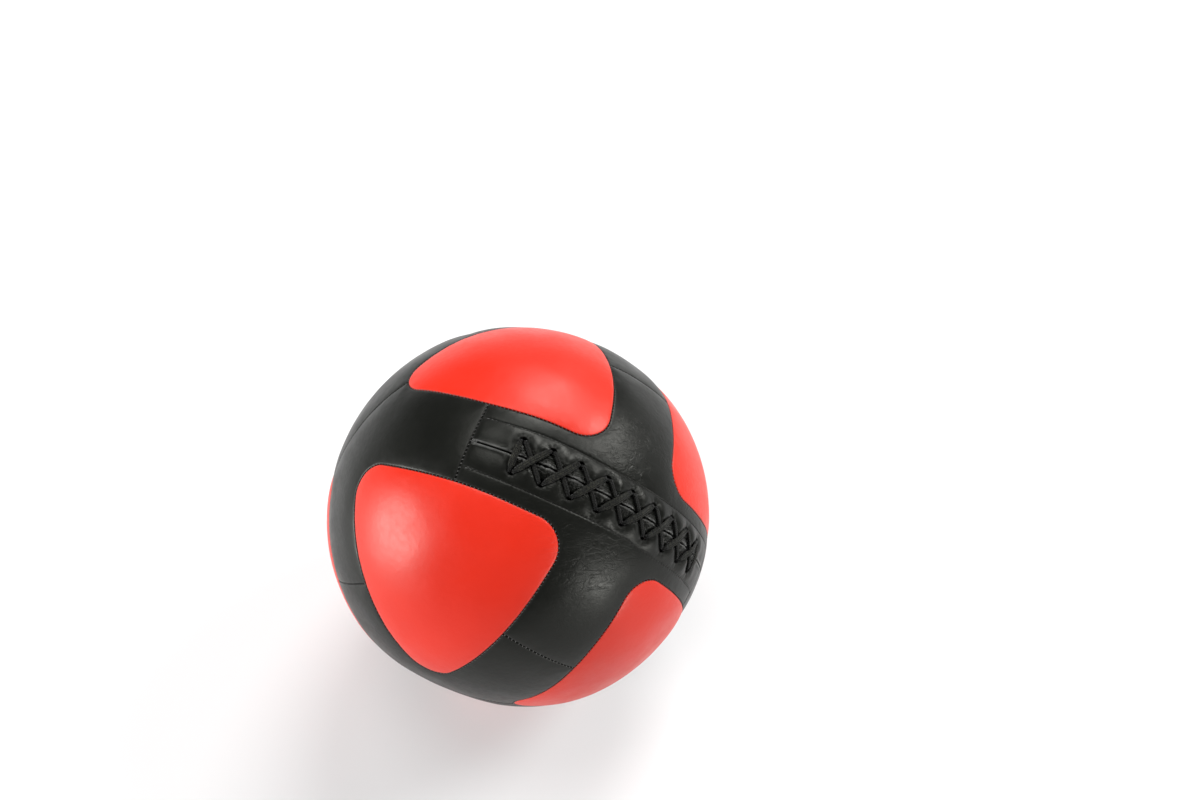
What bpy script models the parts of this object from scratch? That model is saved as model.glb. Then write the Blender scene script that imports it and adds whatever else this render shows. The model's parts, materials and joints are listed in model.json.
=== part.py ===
"""A soft wall ball with a laced cover, at rest on the floor.

Eight rounded triangles of red leather and twelve black panels between them make
the cover.  Two of the black panels meet at a slit, which a flat lace closes over
a tongue.  Inside are a fibre fill, a plug of fill in its filling well and a tied
canvas bag of iron sand.

The cover is drawn in a frame of its own: +X leaves the ball through the middle
of the slit, +Y is to the right of someone who looks at it, and +Z is up.  An
empty turns that frame into the way the ball lies on the floor.  Lengths are in
metres and angles in radians.
"""

import math

import bmesh
import bpy
import numpy as np
from mathutils import Euler, Vector
from mathutils.geometry import delaunay_2d_cdt

# The ball as a whole
BALL_DIAMETER = 0.350
BALL_RADIUS = BALL_DIAMETER / 2
BASE_SQUASH = 0.005
JUNCTION_SAG = 0.0065
JUNCTION_SAG_REACH = 0.069

# How the ball lies: where its laced side looks, and its turn about that line
LACED_AZIMUTH = math.radians(-36.4)
LACED_ELEVATION = math.radians(47.1)
LACED_ROLL = math.radians(-69.3)

# The cover's pattern
BAND_WIDTH = 0.069
CORNER_RADIUS = 0.026
SEAM_GAP = 0.0004

# A cover panel: leather on a soft backing that thins to nothing at the seams
LEATHER_WALL = 0.0015
SEAM_ROLL = 0.0012
SEAM_ROLL_REACH = 0.005
PANEL_CROWN = 0.0010
PANEL_CROWN_REACH = 0.022

# The laced slit
PAIR_COUNT = 9
LACE_PITCH = 0.0245
HOLE_ROW_OFFSET = 0.0123
HOLE_DIAMETER = 0.0082
SLIT_GAP = 0.0010
LIP_OFFSET = 0.0028
LIP_RISE = 0.0008
LIP_REACH = 0.0022
PUCKER_DEPTH = 0.0010
PUCKER_REACH = 0.0060
PUFF_RISE = 0.0010
TOPSTITCH_OFFSET = 0.0220
TOPSTITCH_DEPTH = 0.0008
TOPSTITCH_REACH = 0.0022

# The strips behind the slit's edges, and the tongue under them
FACING_WALL = 0.0012
FACING_MARGIN = 0.0030
FACING_END_MARGIN = 0.0050
TONGUE_WALL = 0.0012
TONGUE_WIDTH = 0.056
TONGUE_END_MARGIN = 0.0080
POCKET_MARGIN = 0.0012

# The lace: flat outside, gathered in the holes
LACE_WIDTH = 0.0056
LACE_THICKNESS = 0.0019
LACE_GATHERED_WIDTH = 0.0027
LACE_GATHERED_DEPTH = 0.0034
LACE_UNDER_WIDTH = 0.0044
LACE_GAP = 0.0008
LACE_BEND = 0.0030
KNOT_LENGTH = 0.0120
KNOT_WIDTH = 0.0090
KNOT_THICKNESS = 0.0034
KNOT_SETBACK = 0.0170

# The filling
FILL_CLEARANCE = 0.0011
WELL_LENGTH = 0.120
WELL_WIDTH = 0.046
BAG_RADIUS = 0.068
BAG_WALL = 0.0010
BAG_SHOULDER = 0.016
BAG_NECK_RADIUS = 0.011
BAG_NECK_LENGTH = 0.020
BAG_MOUTH_FLARE = 0.006
TIE_WIRE = 0.0030
SAND_LEVEL_DROP = 0.004

# Clearances, and how far a cutter runs past what it cuts
SEAT_GAP = 0.0003
LAYER_GAP = 0.0005
CUT_OVERRUN = 0.010
MERGE_DISTANCE = 0.00001

# How closely the curved surfaces are divided
SURFACE_STEP = 0.024
INNER_STEP = 0.024
POINT_ROOM = 0.0022
STRIP_STEP = 0.012
SIDE_STEP = 0.024
SLIT_STEP = LACE_PITCH / 3
ARC_PARTS = 8
DIAGONAL_PARTS = 8
HOLE_SIDES = 8
BASE_RING_PARTS = 16
END_SEAM_PARTS = 4
LACE_END_PARTS = 3
TURNED_STEPS = 16
BAG_BODY_PARTS = 9
BAG_SHOULDER_PARTS = 4
TIE_SIDES = 8
WELL_END_PARTS = 9
FILL_SUBDIVISIONS = 4
SHARP_EDGE = math.radians(40)

# How much of their step or inset points keep from those already placed
GRID_ROOM_SHARE = 0.55
RING_ROOM_SHARE = 0.90

# Rings of points on and round the flat base, as shares of its radius, and how
# many points each has
BASE_RING_SHARES = (
    (0.37, BASE_RING_PARTS // 2),
    (0.74, BASE_RING_PARTS),
    (0.98, BASE_RING_PARTS),
    (1.35, BASE_RING_PARTS),
)

# Where the fine rows of points lie across the laced strip, as shares of the
# distance from the slit to the topstitching
ROW_SHARES = (0.13, 0.30, 0.56, 0.80, 1.0, 1.16)

# The lace's cross-section, as shares of its half width and half thickness
LACE_SECTION_SHARES = ((1, 0), (0.6, 1), (-0.6, 1), (-1, 0), (-0.6, -1), (0.6, -1))

# The lace near a hole, as shares of its bend: how far from its slot in the hole,
# how far it has sunk, and how nearly it is gathered.  Then how far on it is wide.
BEND_SHARES = ((0.20, 0.35, 1.0), (0.53, 0.06, 0.80), (1.0, 0, 0.60))
WIDE_SHARE = 2.4

# Stations along a strand between its bends, where it crosses over another and
# where it lies plain, and half the length of its rise over the other
CROSSING_PLACE_SHARES = (0.24, 0.37, 0.5, 0.63, 0.76)
PLAIN_PLACE_SHARES = (0.27, 0.5, 0.73)
HUMP_HALF_SHARE = 0.34

# Where across its width a strand is tested against the leather
WIDTH_TEST_SHARES = (-1, -0.5, 0, 0.5, 1)

# How much of the full sag each junction of the bands has
JUNCTION_SAG_SHARES = {
    "front": 0.25,
    "left": 0.20,
    "bottom": 1.00,
    "top": 0.80,
    "right": 0.80,
    "back": 0.40,
}

JUNCTION_AXES = {
    "front": (1, 0, 0),
    "left": (0, -1, 0),
    "bottom": (0, 0, -1),
    "top": (0, 0, 1),
    "right": (0, 1, 0),
    "back": (-1, 0, 0),
}

# Colours as linear red, green and blue, then roughness and metallic value
RED_LEATHER = ((0.87, 0.06, 0.035), 0.42, 0.0)
BLACK_LEATHER = ((0.017, 0.017, 0.016), 0.40, 0.0)
LACE_CORD = ((0.010, 0.010, 0.010), 0.85, 0.0)
WEBBING = ((0.020, 0.020, 0.020), 0.80, 0.0)
FIBRE = ((0.55, 0.53, 0.50), 0.95, 0.0)
CANVAS = ((0.60, 0.54, 0.42), 0.90, 0.0)
IRON_SAND = ((0.090, 0.085, 0.080), 0.60, 0.6)

# Sizes worked out from the ones above
HALF_BAND = math.asin(BAND_WIDTH / 2 / BALL_RADIUS)
CORNER_ANGLE = CORNER_RADIUS / BALL_RADIUS
SEAM_INSET = SEAM_GAP / 2 / BALL_RADIUS
COVER_DEPTH = LEATHER_WALL + SEAM_ROLL + PANEL_CROWN
CENTRE_HEIGHT = BALL_RADIUS - BASE_SQUASH
BASE_RADIUS = math.sqrt(BALL_RADIUS ** 2 - CENTRE_HEIGHT ** 2)
MID_SEAM = math.pi / 4
SLIT_HALF_LENGTH = MID_SEAM * BALL_RADIUS
CHART_MERGE = SEAM_GAP / 100

FACING_DEPTH = COVER_DEPTH + LAYER_GAP
UPPER_BAR_DEPTH = FACING_DEPTH + FACING_WALL + LAYER_GAP + LACE_THICKNESS / 2
LOWER_BAR_DEPTH = UPPER_BAR_DEPTH + LACE_THICKNESS + LACE_GAP
TONGUE_DEPTH = LOWER_BAR_DEPTH + LACE_THICKNESS / 2 + LAYER_GAP
POCKET_DEPTH = TONGUE_DEPTH + TONGUE_WALL + LAYER_GAP
SLOT_OFFSET = (LACE_GATHERED_WIDTH + LACE_GAP) / 2
WELL_TOP = BALL_RADIUS - COVER_DEPTH

ATTITUDE = Euler((LACED_ROLL, -LACED_ELEVATION, LACED_AZIMUTH)).to_matrix()
DOWN = np.array(ATTITUDE.transposed() @ Vector((0, 0, -1)))


def start_scene():
    """Empty the scene and make the two collections."""
    for item in list(bpy.data.objects):
        bpy.data.objects.remove(item, do_unlink=True)
    made = []
    for name in ("wall_ball", "wall_ball_cutters"):
        made.append(bpy.data.collections.new(name))
        bpy.context.scene.collection.children.link(made[-1])
    return made


PARTS, CUTTERS = start_scene()


def make_material(name, finish):
    colour, roughness, metallic = finish
    material = bpy.data.materials.new(name)
    material.use_nodes = True
    shader = material.node_tree.nodes["Principled BSDF"]
    shader.inputs["Base Color"].default_value = (*colour, 1)
    shader.inputs["Roughness"].default_value = roughness
    shader.inputs["Metallic"].default_value = metallic
    material.diffuse_color = (*colour, 1)
    return material


def add_part(name, mesh, finish):
    """Link a mesh as one of the ball's pieces, riding on the attitude empty."""
    part = bpy.data.objects.new(name, mesh)
    PARTS.objects.link(part)
    mesh.materials.clear()
    mesh.materials.append(make_material(name, finish))
    part.parent = ATTITUDE_EMPTY
    return part


def add_cutter(name, mesh):
    cutter = bpy.data.objects.new(name, mesh)
    CUTTERS.objects.link(cutter)
    cutter.hide_render = True
    cutter.display_type = "WIRE"
    cutter.parent = ATTITUDE_EMPTY
    return cutter


def cut(part, cutter):
    modifier = part.modifiers.new(cutter.name, "BOOLEAN")
    modifier.operation = "DIFFERENCE"
    modifier.solver = "EXACT"
    modifier.object = cutter
    return modifier


# Surfaces of the ball, as distances from its centre along unit directions

def unit(vectors):
    vectors = np.asarray(vectors, dtype=float)
    return vectors / np.linalg.norm(vectors, axis=-1, keepdims=True)


def sag(directions):
    """How far the junctions of the bands lie below the full ball."""
    total = np.zeros(len(directions))
    for name, axis in JUNCTION_AXES.items():
        away = np.arccos(np.clip(directions @ np.array(axis), -1, 1)) * BALL_RADIUS
        total += JUNCTION_SAG_SHARES[name] * np.exp(-(away / JUNCTION_SAG_REACH) ** 2)
    return JUNCTION_SAG * total


def floor_distance(directions, height):
    """Distance from the centre to a level plane that far below it."""
    drop = directions @ DOWN
    return np.where(drop > 0, height / np.maximum(drop, height / BALL_DIAMETER), BALL_DIAMETER)


def shell_radius(directions, depth, lift=0):
    """The ball's form at a depth under its full size, lifted off the floor."""
    free = BALL_RADIUS - sag(directions) - depth
    return np.minimum(free, floor_distance(directions, CENTRE_HEIGHT - lift))


def panel_dip(edge_distance):
    """How far a panel's face lies below its crown near its seams."""
    roll = 1 - np.minimum(edge_distance / SEAM_ROLL_REACH, 1)
    crown = 1 - np.minimum(edge_distance / PANEL_CROWN_REACH, 1)
    return SEAM_ROLL * roll ** 2 + PANEL_CROWN * crown ** 2


def panel_face(directions, edge_distance):
    return shell_radius(directions, panel_dip(edge_distance))


def panel_back(directions, edge_distance):
    return shell_radius(directions, COVER_DEPTH, LEATHER_WALL)


def layer_face(depth):
    """A radius function for a plain layer at a depth under the full ball."""
    def radius(directions, edge_distance):
        return shell_radius(directions, depth)
    return radius


# Curves of the pattern, as rows of unit directions

def strip_point(along, across):
    """The direction at a distance along the slit and a distance above it."""
    longitude = np.asarray(along) / BALL_RADIUS
    latitude = np.asarray(across) / BALL_RADIUS
    longitude, latitude = np.broadcast_arrays(longitude, latitude)
    flat = np.cos(latitude)
    return np.stack([flat * np.cos(longitude), flat * np.sin(longitude), np.sin(latitude)], -1)


def strip_place(directions):
    """The distances along and above the slit of each direction."""
    along = np.arctan2(directions[:, 1], directions[:, 0]) * BALL_RADIUS
    across = np.arcsin(np.clip(directions[:, 2], -1, 1)) * BALL_RADIUS
    return along, across


def hole_places(side):
    """Places along and above the slit of one row of lace holes."""
    along = (np.arange(PAIR_COUNT) - (PAIR_COUNT - 1) / 2) * LACE_PITCH
    return [(place, side * HOLE_ROW_OFFSET) for place in along]


def corner_path(out, up, aside, inset):
    """Half a side, a rounded corner and half a side of one red triangle.

    The corner points to the junction at out, in the octant of out, up and aside.
    The path starts on the side along the band from out to aside.  A positive
    inset draws it inside the triangle, and a negative one outside.
    """
    out, up, aside = (np.array(axis, dtype=float) for axis in (out, up, aside))
    half_band = HALF_BAND + inset
    radius = CORNER_ANGLE - inset
    rise = math.sin(HALF_BAND + CORNER_ANGLE)
    centre = out * math.sqrt(1 - 2 * rise ** 2) + (up + aside) * rise
    tangent = math.atan2(rise, math.sqrt(1 - 2 * rise ** 2))
    limit = MID_SEAM if inset > 0 else MID_SEAM + inset
    parts = max(2, round((limit - tangent) * BALL_RADIUS / SIDE_STEP))
    side = np.linspace(limit, tangent, parts + 1)[:, None]
    first = up * math.sin(half_band) + math.cos(half_band) * (out * np.cos(side) + aside * np.sin(side))
    last = aside * math.sin(half_band) + math.cos(half_band) * (out * np.cos(side) + up * np.sin(side))
    ahead = unit(out - centre * (out @ centre))
    across = unit(aside - up)
    start = unit(first[-1] - centre * (first[-1] @ centre))
    swing = math.atan2(start @ across, start @ ahead)
    turn = np.linspace(swing, -swing, ARC_PARTS + 1)[:, None]
    arc = centre * math.cos(radius) + math.sin(radius) * (ahead * np.cos(turn) + across * np.sin(turn))
    return first[:-1], arc, last[-2::-1]


def great_arc(start, end, parts):
    """Directions between two others, without them."""
    share = np.linspace(0, 1, parts + 1)[1:-1, None]
    return unit(start * (1 - share) + end * share)


def red_outline(x, y, z):
    """The rounded triangle in one octant of the ball."""
    axes = [np.array((x, 0, 0)), np.array((0, y, 0)), np.array((0, 0, z))]
    rows = []
    for k in range(3):
        first, arc, last = corner_path(axes[k], axes[k - 2], axes[k - 1], SEAM_INSET)
        rows += [first, arc, last[:-1]]
    return np.vstack(rows)


def elbow_outline(out, up, aside):
    """A black panel that wraps the red corner between up and aside.

    It reaches halfway along two bands, and a diagonal seam across the junction
    parts it from its twin.
    """
    out, up, aside = (np.array(axis, dtype=float) for axis in (out, up, aside))
    inner_first, inner_arc, inner_last = corner_path(out, up, aside, -SEAM_INSET)
    inner = np.vstack([inner_first, inner_arc, inner_last])
    half = ARC_PARTS // 2
    across = unit(up + aside)

    def to_diagonal(first, arc):
        """The half of a neighbour's corner that this panel touches."""
        path = np.vstack([first, arc[:half + 1]])
        path[-1] = unit(path[-1] + across * (math.sin(SEAM_INSET) - path[-1] @ across))
        return path

    first, arc, _ = corner_path(out, -up, aside, -SEAM_INSET)
    below = to_diagonal(first, arc)
    _, arc, last = corner_path(out, up, -aside, -SEAM_INSET)
    beyond = to_diagonal(last[::-1], arc[::-1])
    middle = unit(out + across * math.tan(SEAM_INSET))
    diagonal = np.vstack([
        great_arc(below[-1], middle, DIAGONAL_PARTS // 2),
        middle[None],
        great_arc(middle, beyond[-1], DIAGONAL_PARTS // 2),
    ])
    far_end = great_arc(inner[-1], beyond[0], END_SEAM_PARTS)
    near_end = great_arc(below[0], inner[0], END_SEAM_PARTS)
    return np.vstack([inner, far_end, beyond, diagonal[::-1], below[::-1], near_end])


def lace_outline(side):
    """The T-shaped black panel above (1) or below (-1) the slit."""
    out, up, right = np.array((1, 0, 0)), np.array((0, 0, side)), np.array((0, 1, 0))
    left_path = np.vstack(corner_path(out, up, -right, -SEAM_INSET))
    right_path = np.vstack(corner_path(out, up, right, -SEAM_INSET))[::-1]
    reach = SLIT_HALF_LENGTH - SEAM_GAP / 2
    parts = round(2 * reach / SLIT_STEP)
    slit = strip_point(np.linspace(reach, -reach, parts + 1), side * SLIT_GAP / 2)
    return np.vstack([
        left_path,
        great_arc(left_path[-1], right_path[0], END_SEAM_PARTS),
        right_path,
        great_arc(right_path[-1], slit[0], LACE_END_PARTS),
        slit,
        great_arc(slit[-1], left_path[0], LACE_END_PARTS),
    ])


def strip_outline(half_length, low, high):
    """A long rectangle beside or across the slit."""
    parts = round(2 * half_length / (LACE_PITCH / 2))
    along = np.linspace(-half_length, half_length, parts + 1)
    return np.vstack([strip_point(along, low), strip_point(along[::-1], high)])


def hole_outlines(side):
    """The rings of directions round one row of lace holes."""
    rings = []
    turn = np.linspace(0, 2 * math.pi, HOLE_SIDES, endpoint=False) + math.pi / HOLE_SIDES
    for along, across in hole_places(side):
        rings.append(ring_round(strip_point(along, across), HOLE_DIAMETER / 2, turn))
    return rings


def ring_round(centre, radius, turn):
    """Directions at a distance round a centre direction."""
    guide = np.array((0, 0, 1)) if abs(centre[2]) < abs(centre[0]) + abs(centre[1]) else np.array((1, 0, 0))
    first = unit(np.cross(guide, centre))
    second = np.cross(centre, first)
    angle = radius / BALL_RADIUS
    ring = first * np.cos(turn)[:, None] + second * np.sin(turn)[:, None]
    return centre * math.cos(angle) + ring * math.sin(angle)


# Layers on the ball: a face and a back over one outline, joined round its edges

def chart_of(centre):
    """Functions to and from a flat chart of the ball round a direction."""
    guide = np.array((0, 0, 1)) if abs(centre[2]) < abs(centre[0]) + abs(centre[1]) else np.array((1, 0, 0))
    east = unit(np.cross(guide, centre))
    north = np.cross(centre, east)

    def flatten(directions):
        x, y, z = directions @ east, directions @ north, directions @ centre
        away = np.arctan2(np.hypot(x, y), z)
        stretch = away / np.maximum(np.sin(away), np.finfo(float).tiny) * BALL_RADIUS
        return np.stack([x * stretch, y * stretch], 1)

    def raise_up(points):
        away = np.linalg.norm(points, axis=1) / BALL_RADIUS
        scale = np.sinc(away / math.pi) / BALL_RADIUS
        tilted = points[:, :1] * east + points[:, 1:] * north
        return tilted * scale[:, None] + centre * np.cos(away)[:, None]

    return flatten, raise_up


def is_inside(points, loop):
    """Whether each flat point lies inside a closed loop."""
    inside = np.zeros(len(points), dtype=bool)
    x, y = points[:, 0], points[:, 1]
    for start, end in zip(loop, np.roll(loop, -1, axis=0)):
        spans = (start[1] > y) != (end[1] > y)
        if spans.any():
            rise = end[1] - start[1]
            crossing = start[0] + (y - start[1]) * (end[0] - start[0]) / rise
            inside ^= spans & (x < crossing)
    return inside


def distance_to_loop(points, loop):
    """Least distance from each point to a closed loop of straight edges."""
    nearest = np.full(len(points), np.inf)
    for start, end in zip(loop, np.roll(loop, -1, axis=0)):
        edge = end - start
        share = np.clip((points - start) @ edge / (edge @ edge), 0, 1)
        gap = np.linalg.norm(points - start - share[:, None] * edge, axis=1)
        nearest = np.minimum(nearest, gap)
    return nearest


def hexagonal_grid(low, high, step):
    """Rows of points a step apart over a flat box."""
    row_step = step * math.sqrt(3) / 2
    rows = []
    for index, y in enumerate(np.arange(low[1], high[1], row_step)):
        x = np.arange(low[0] + step / 2 * (index % 2), high[0], step)
        rows.append(np.stack([x, np.full(len(x), y)], 1))
    return np.vstack(rows)


def inset_points(loop, inset):
    """Points a distance inside a loop, beside its own."""
    ahead, behind = np.roll(loop, -1, axis=0) - loop, loop - np.roll(loop, 1, axis=0)
    along = unit(unit(ahead) + unit(behind))
    normal = np.stack([-along[:, 1], along[:, 0]], 1)
    area = loop[:, 0] @ np.roll(loop[:, 1], -1) - loop[:, 1] @ np.roll(loop[:, 0], -1)
    return loop + normal * inset * np.sign(area)


def fill_loop(loops, candidates, step):
    """Flat points inside the first loop and outside the others.

    The candidates come as pairs of points and the least distance that each is
    to keep from the loops and from the points before it.  A grid of the given
    step takes up the rest.
    """
    low, high = loops[0].min(axis=0), loops[0].max(axis=0)
    candidates = candidates + [(hexagonal_grid(low, high, step), step * GRID_ROOM_SHARE)]
    fixed = np.vstack(loops)
    for points, room in candidates:
        inside = is_inside(points, loops[0])
        for hole in loops[1:]:
            inside &= ~is_inside(points, hole)
        for loop in loops:
            inside &= distance_to_loop(points, loop) > room
        for point in points[inside]:
            if np.linalg.norm(fixed - point, axis=1).min() > room:
                fixed = np.vstack([fixed, point])
    return fixed


def triangulate(points, loops):
    """Triangles between the loops, as rows of three numbers of points."""
    edges, start = [], 0
    for loop in loops:
        count = len(loop)
        edges += [(start + k, start + (k + 1) % count) for k in range(count)]
        start += count
    vertices = [Vector(point) for point in points]
    made = delaunay_2d_cdt(vertices, edges, [], 0, CHART_MERGE)
    origin = [numbers[0] for numbers in made[3]]
    faces = np.array([[origin[k] for k in face] for face in made[2]])
    middle = points[faces].mean(axis=1)
    keep = is_inside(middle, loops[0])
    for hole in loops[1:]:
        keep &= ~is_inside(middle, hole)
    return faces[keep]


def base_points():
    """Directions on rings round the place where the ball stands."""
    rings = [DOWN[None]]
    for share, parts in BASE_RING_SHARES:
        turn = np.linspace(0, 2 * math.pi, parts, endpoint=False)
        rings.append(ring_round(DOWN, BASE_RADIUS * share, turn))
    return np.vstack(rings)


def layer(name, outline, face, back, rings=(), extra=None, rear_extra=None, holes=()):
    """A closed layer over an outline on the ball, between two radius functions.

    The rings are insets at which the face gets a row of points of its own, and
    extra and rear_extra hold more directions for the face and for the back.
    """
    centre = unit(outline.sum(axis=0))
    flatten, raise_up = chart_of(centre)
    loops = [flatten(np.asarray(loop)) for loop in (outline, *holes)]

    def scattered(directions, before, step):
        """Points inside the loops: first the rows before, then these and the base's."""
        known = base_points() if directions is None else np.vstack([directions, base_points()])
        known = flatten(known[known @ centre > 0])
        return fill_loop(loops, before + [(known, POINT_ROOM)], step)

    rows = [(inset_points(loops[0], inset), inset * RING_ROOM_SHARE) for inset in rings]
    front = scattered(extra, rows, SURFACE_STEP)
    rear = scattered(rear_extra, [], INNER_STEP)
    rim = raise_up(loops[0]) * BALL_RADIUS

    def placed(points, radius):
        directions = raise_up(points)
        gap = distance_to_loop(directions * BALL_RADIUS, rim)
        return directions * radius(directions, gap)[:, None]

    places = np.vstack([placed(front, face), placed(rear, back)])
    faces = [tuple(face_row) for face_row in triangulate(front, loops)]
    faces += [tuple(face_row[::-1] + len(front)) for face_row in triangulate(rear, loops)]
    start = 0
    for loop in loops:
        count = len(loop)
        for k in range(count):
            near_end, far_end = start + k, start + (k + 1) % count
            faces.append((near_end, far_end, far_end + len(front), near_end + len(front)))
        start += count
    return closed_mesh(name, places, faces)


def closed_mesh(name, places, faces):
    """A mesh from points and faces, with its faces turned outward."""
    build = bmesh.new()
    vertices = [build.verts.new(place) for place in places]
    for face in faces:
        build.faces.new([vertices[k] for k in face])
    bmesh.ops.recalc_face_normals(build, faces=build.faces)
    mesh = bpy.data.meshes.new(name)
    build.to_mesh(mesh)
    build.free()
    mesh.shade_smooth()
    mesh.set_sharp_from_angle(angle=SHARP_EDGE)
    return mesh


# The cover

def side_name(value, positive, negative):
    return positive if value > 0 else negative


def octant_name(x, y, z):
    return "_".join((
        side_name(x, "front", "back"),
        side_name(z, "upper", "lower"),
        side_name(y, "right", "left"),
    ))


def build_red_panels():
    for x in (1, -1):
        for y in (1, -1):
            for z in (1, -1):
                name = "red_panel_" + octant_name(x, y, z)
                rings = (SEAM_ROLL_REACH, PANEL_CROWN_REACH / 2)
                mesh = layer(name, red_outline(x, y, z), panel_face, panel_back, rings)
                add_part(name, mesh, RED_LEATHER)


def build_elbow_panels():
    """The ten black panels that aren't laced, two at each junction but the front."""
    parity = {"left": 1, "bottom": 1, "back": -1, "right": -1, "top": -1}
    for junction, wrapped_parity in parity.items():
        out = np.array(JUNCTION_AXES[junction])
        k = int(np.argmax(np.abs(out)))
        up, aside = np.zeros(3), np.zeros(3)
        up[(k + 1) % 3] = 1
        aside[(k + 2) % 3] = 1
        for first in (1, -1):
            second = first * wrapped_parity * int(out.sum())
            octant = out + first * up + second * aside
            name = "black_panel_" + junction + "_round_" + octant_name(*octant)
            outline = elbow_outline(out, first * up, second * aside)
            mesh = layer(name, outline, panel_face, panel_back, (SEAM_ROLL_REACH,))
            add_part(name, mesh, BLACK_LEATHER)


def lace_face(directions, edge_distance):
    """The puffed and puckered leather beside the slit."""
    along, across = strip_place(directions)
    across = np.abs(across)
    reach = (PAIR_COUNT - 1) / 2 * LACE_PITCH
    phase = np.cos(math.pi * along / LACE_PITCH) ** 2
    nearest = np.clip(np.round(along / LACE_PITCH) * LACE_PITCH, -reach, reach)
    hole_gap = np.hypot(along - nearest, across - HOLE_ROW_OFFSET)
    between = np.clip(across / TOPSTITCH_OFFSET, 0, 1)
    laced = 1 / (1 + np.exp((np.abs(along) - reach - LACE_PITCH / 2) / (LACE_PITCH / 8)))
    puff = PUFF_RISE * np.sin(math.pi * between) * (1 - phase / 2) * laced
    pucker = PUCKER_DEPTH * np.exp(-(hole_gap / PUCKER_REACH) ** 2)
    lip = LIP_RISE * np.exp(-((across - LIP_OFFSET) / LIP_REACH) ** 2)
    stitch = TOPSTITCH_DEPTH * np.exp(-((across - TOPSTITCH_OFFSET) / TOPSTITCH_REACH) ** 2)
    ends = np.clip((SLIT_HALF_LENGTH - np.abs(along)) / PANEL_CROWN_REACH, 0, 1)
    return panel_face(directions, edge_distance) + (puff + lip - stitch) * ends - pucker


def strip_rows(side, offsets, step):
    """Rows of directions beside the slit, at distances above or below it."""
    reach = SLIT_HALF_LENGTH - SEAM_ROLL_REACH
    along = np.linspace(-reach, reach, round(2 * reach / step) + 1)
    return np.vstack([strip_point(along, side * offset) for offset in offsets])


def build_lace_panels():
    turn = np.linspace(0, 2 * math.pi, HOLE_SIDES, endpoint=False)
    inner_rows = (HOLE_ROW_OFFSET, TOPSTITCH_OFFSET, TOPSTITCH_OFFSET + STRIP_STEP)
    for side, name in ((1, "lace_panel_upper"), (-1, "lace_panel_lower")):
        rows = [ring_round(strip_point(*place), HOLE_DIAMETER / 2 + LIP_REACH, turn)
                for place in hole_places(side)]
        rows.append(strip_rows(side, [share * TOPSTITCH_OFFSET for share in ROW_SHARES], SLIT_STEP))
        mesh = layer(name, lace_outline(side), lace_face, panel_back, (SEAM_ROLL_REACH,),
                     np.vstack(rows), strip_rows(side, inner_rows, STRIP_STEP), hole_outlines(side))
        add_part(name, mesh, BLACK_LEATHER)


def build_facings_and_tongue():
    """The holed strips behind the slit's edges, and the tongue below the lace."""
    half_length = SLIT_HALF_LENGTH - FACING_END_MARGIN
    top, bottom = layer_face(FACING_DEPTH), layer_face(FACING_DEPTH + FACING_WALL)
    for side, name in ((1, "lace_facing_upper"), (-1, "lace_facing_lower")):
        outline = strip_outline(half_length, side * SLIT_GAP / 2, side * (TOPSTITCH_OFFSET + FACING_MARGIN))
        row = strip_rows(side, (HOLE_ROW_OFFSET,), STRIP_STEP)
        mesh = layer(name, outline, top, bottom, (), row, row, hole_outlines(side))
        add_part(name, mesh, WEBBING)
    add_part("tongue", strip_layer("tongue", SLIT_HALF_LENGTH - TONGUE_END_MARGIN, TONGUE_WIDTH / 2,
                                   TONGUE_DEPTH, TONGUE_DEPTH + TONGUE_WALL), WEBBING)


def strip_layer(name, half_length, half_width, top, bottom):
    """A layer that runs along the slit, on both sides of it, between two depths."""
    outline = strip_outline(half_length, -half_width, half_width)
    rows = np.vstack([strip_rows(1, (0, half_width / 2), STRIP_STEP),
                      strip_rows(-1, (half_width / 2,), STRIP_STEP)])
    return layer(name, outline, layer_face(top), layer_face(bottom), (), rows, rows)


# The lace

def over_leather(along, across, thickness, width_line):
    """The radius at which a flat stretch of lace rests on the leather."""
    sides = np.array(WIDTH_TEST_SHARES) * LACE_WIDTH / 2
    spots = strip_point(along + width_line[0] * sides, across + width_line[1] * sides)
    free = np.full(len(sides), PANEL_CROWN_REACH)
    return lace_face(spots, free).max() + LAYER_GAP + thickness / 2


def outside_stretch(start, end, lift):
    """Stations of lace over the leather, from one slot to another.

    A station is a place along and above the slit, a radius, the line along
    which the lace is wide, its width and its thickness.
    """
    start, end = np.array(start), np.array(end)
    run = unit(end - start)
    width_line = np.array((-run[1], run[0]))
    width_line *= np.sign(width_line[0])
    length = np.linalg.norm(end - start)
    ends = [bend * LACE_BEND / length for bend, *_ in BEND_SHARES]
    middles = CROSSING_PLACE_SHARES if lift else PLAIN_PLACE_SHARES
    stations = []
    for place in [*ends, *middles, *(1 - share for share in ends[::-1])]:
        here = start + (end - start) * place
        away = min(place, 1 - place) * length / LACE_BEND
        bends, drops, gatherings = zip(*BEND_SHARES, (WIDE_SHARE, 0, 0))
        drop = np.interp(away, bends, drops) * LACE_BEND
        gathered = np.interp(away, bends, gatherings)
        width = LACE_WIDTH + (LACE_GATHERED_WIDTH - LACE_WIDTH) * gathered
        thickness = LACE_THICKNESS + (LACE_GATHERED_DEPTH - LACE_THICKNESS) * gathered ** 2
        hump = lift * (1 + math.cos(math.pi * min(abs(place - 0.5) / HUMP_HALF_SHARE, 1))) / 2
        radius = over_leather(*here, LACE_THICKNESS, width_line) + hump - drop
        stations.append((*here, radius, width_line, width, thickness))
    return stations


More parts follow.
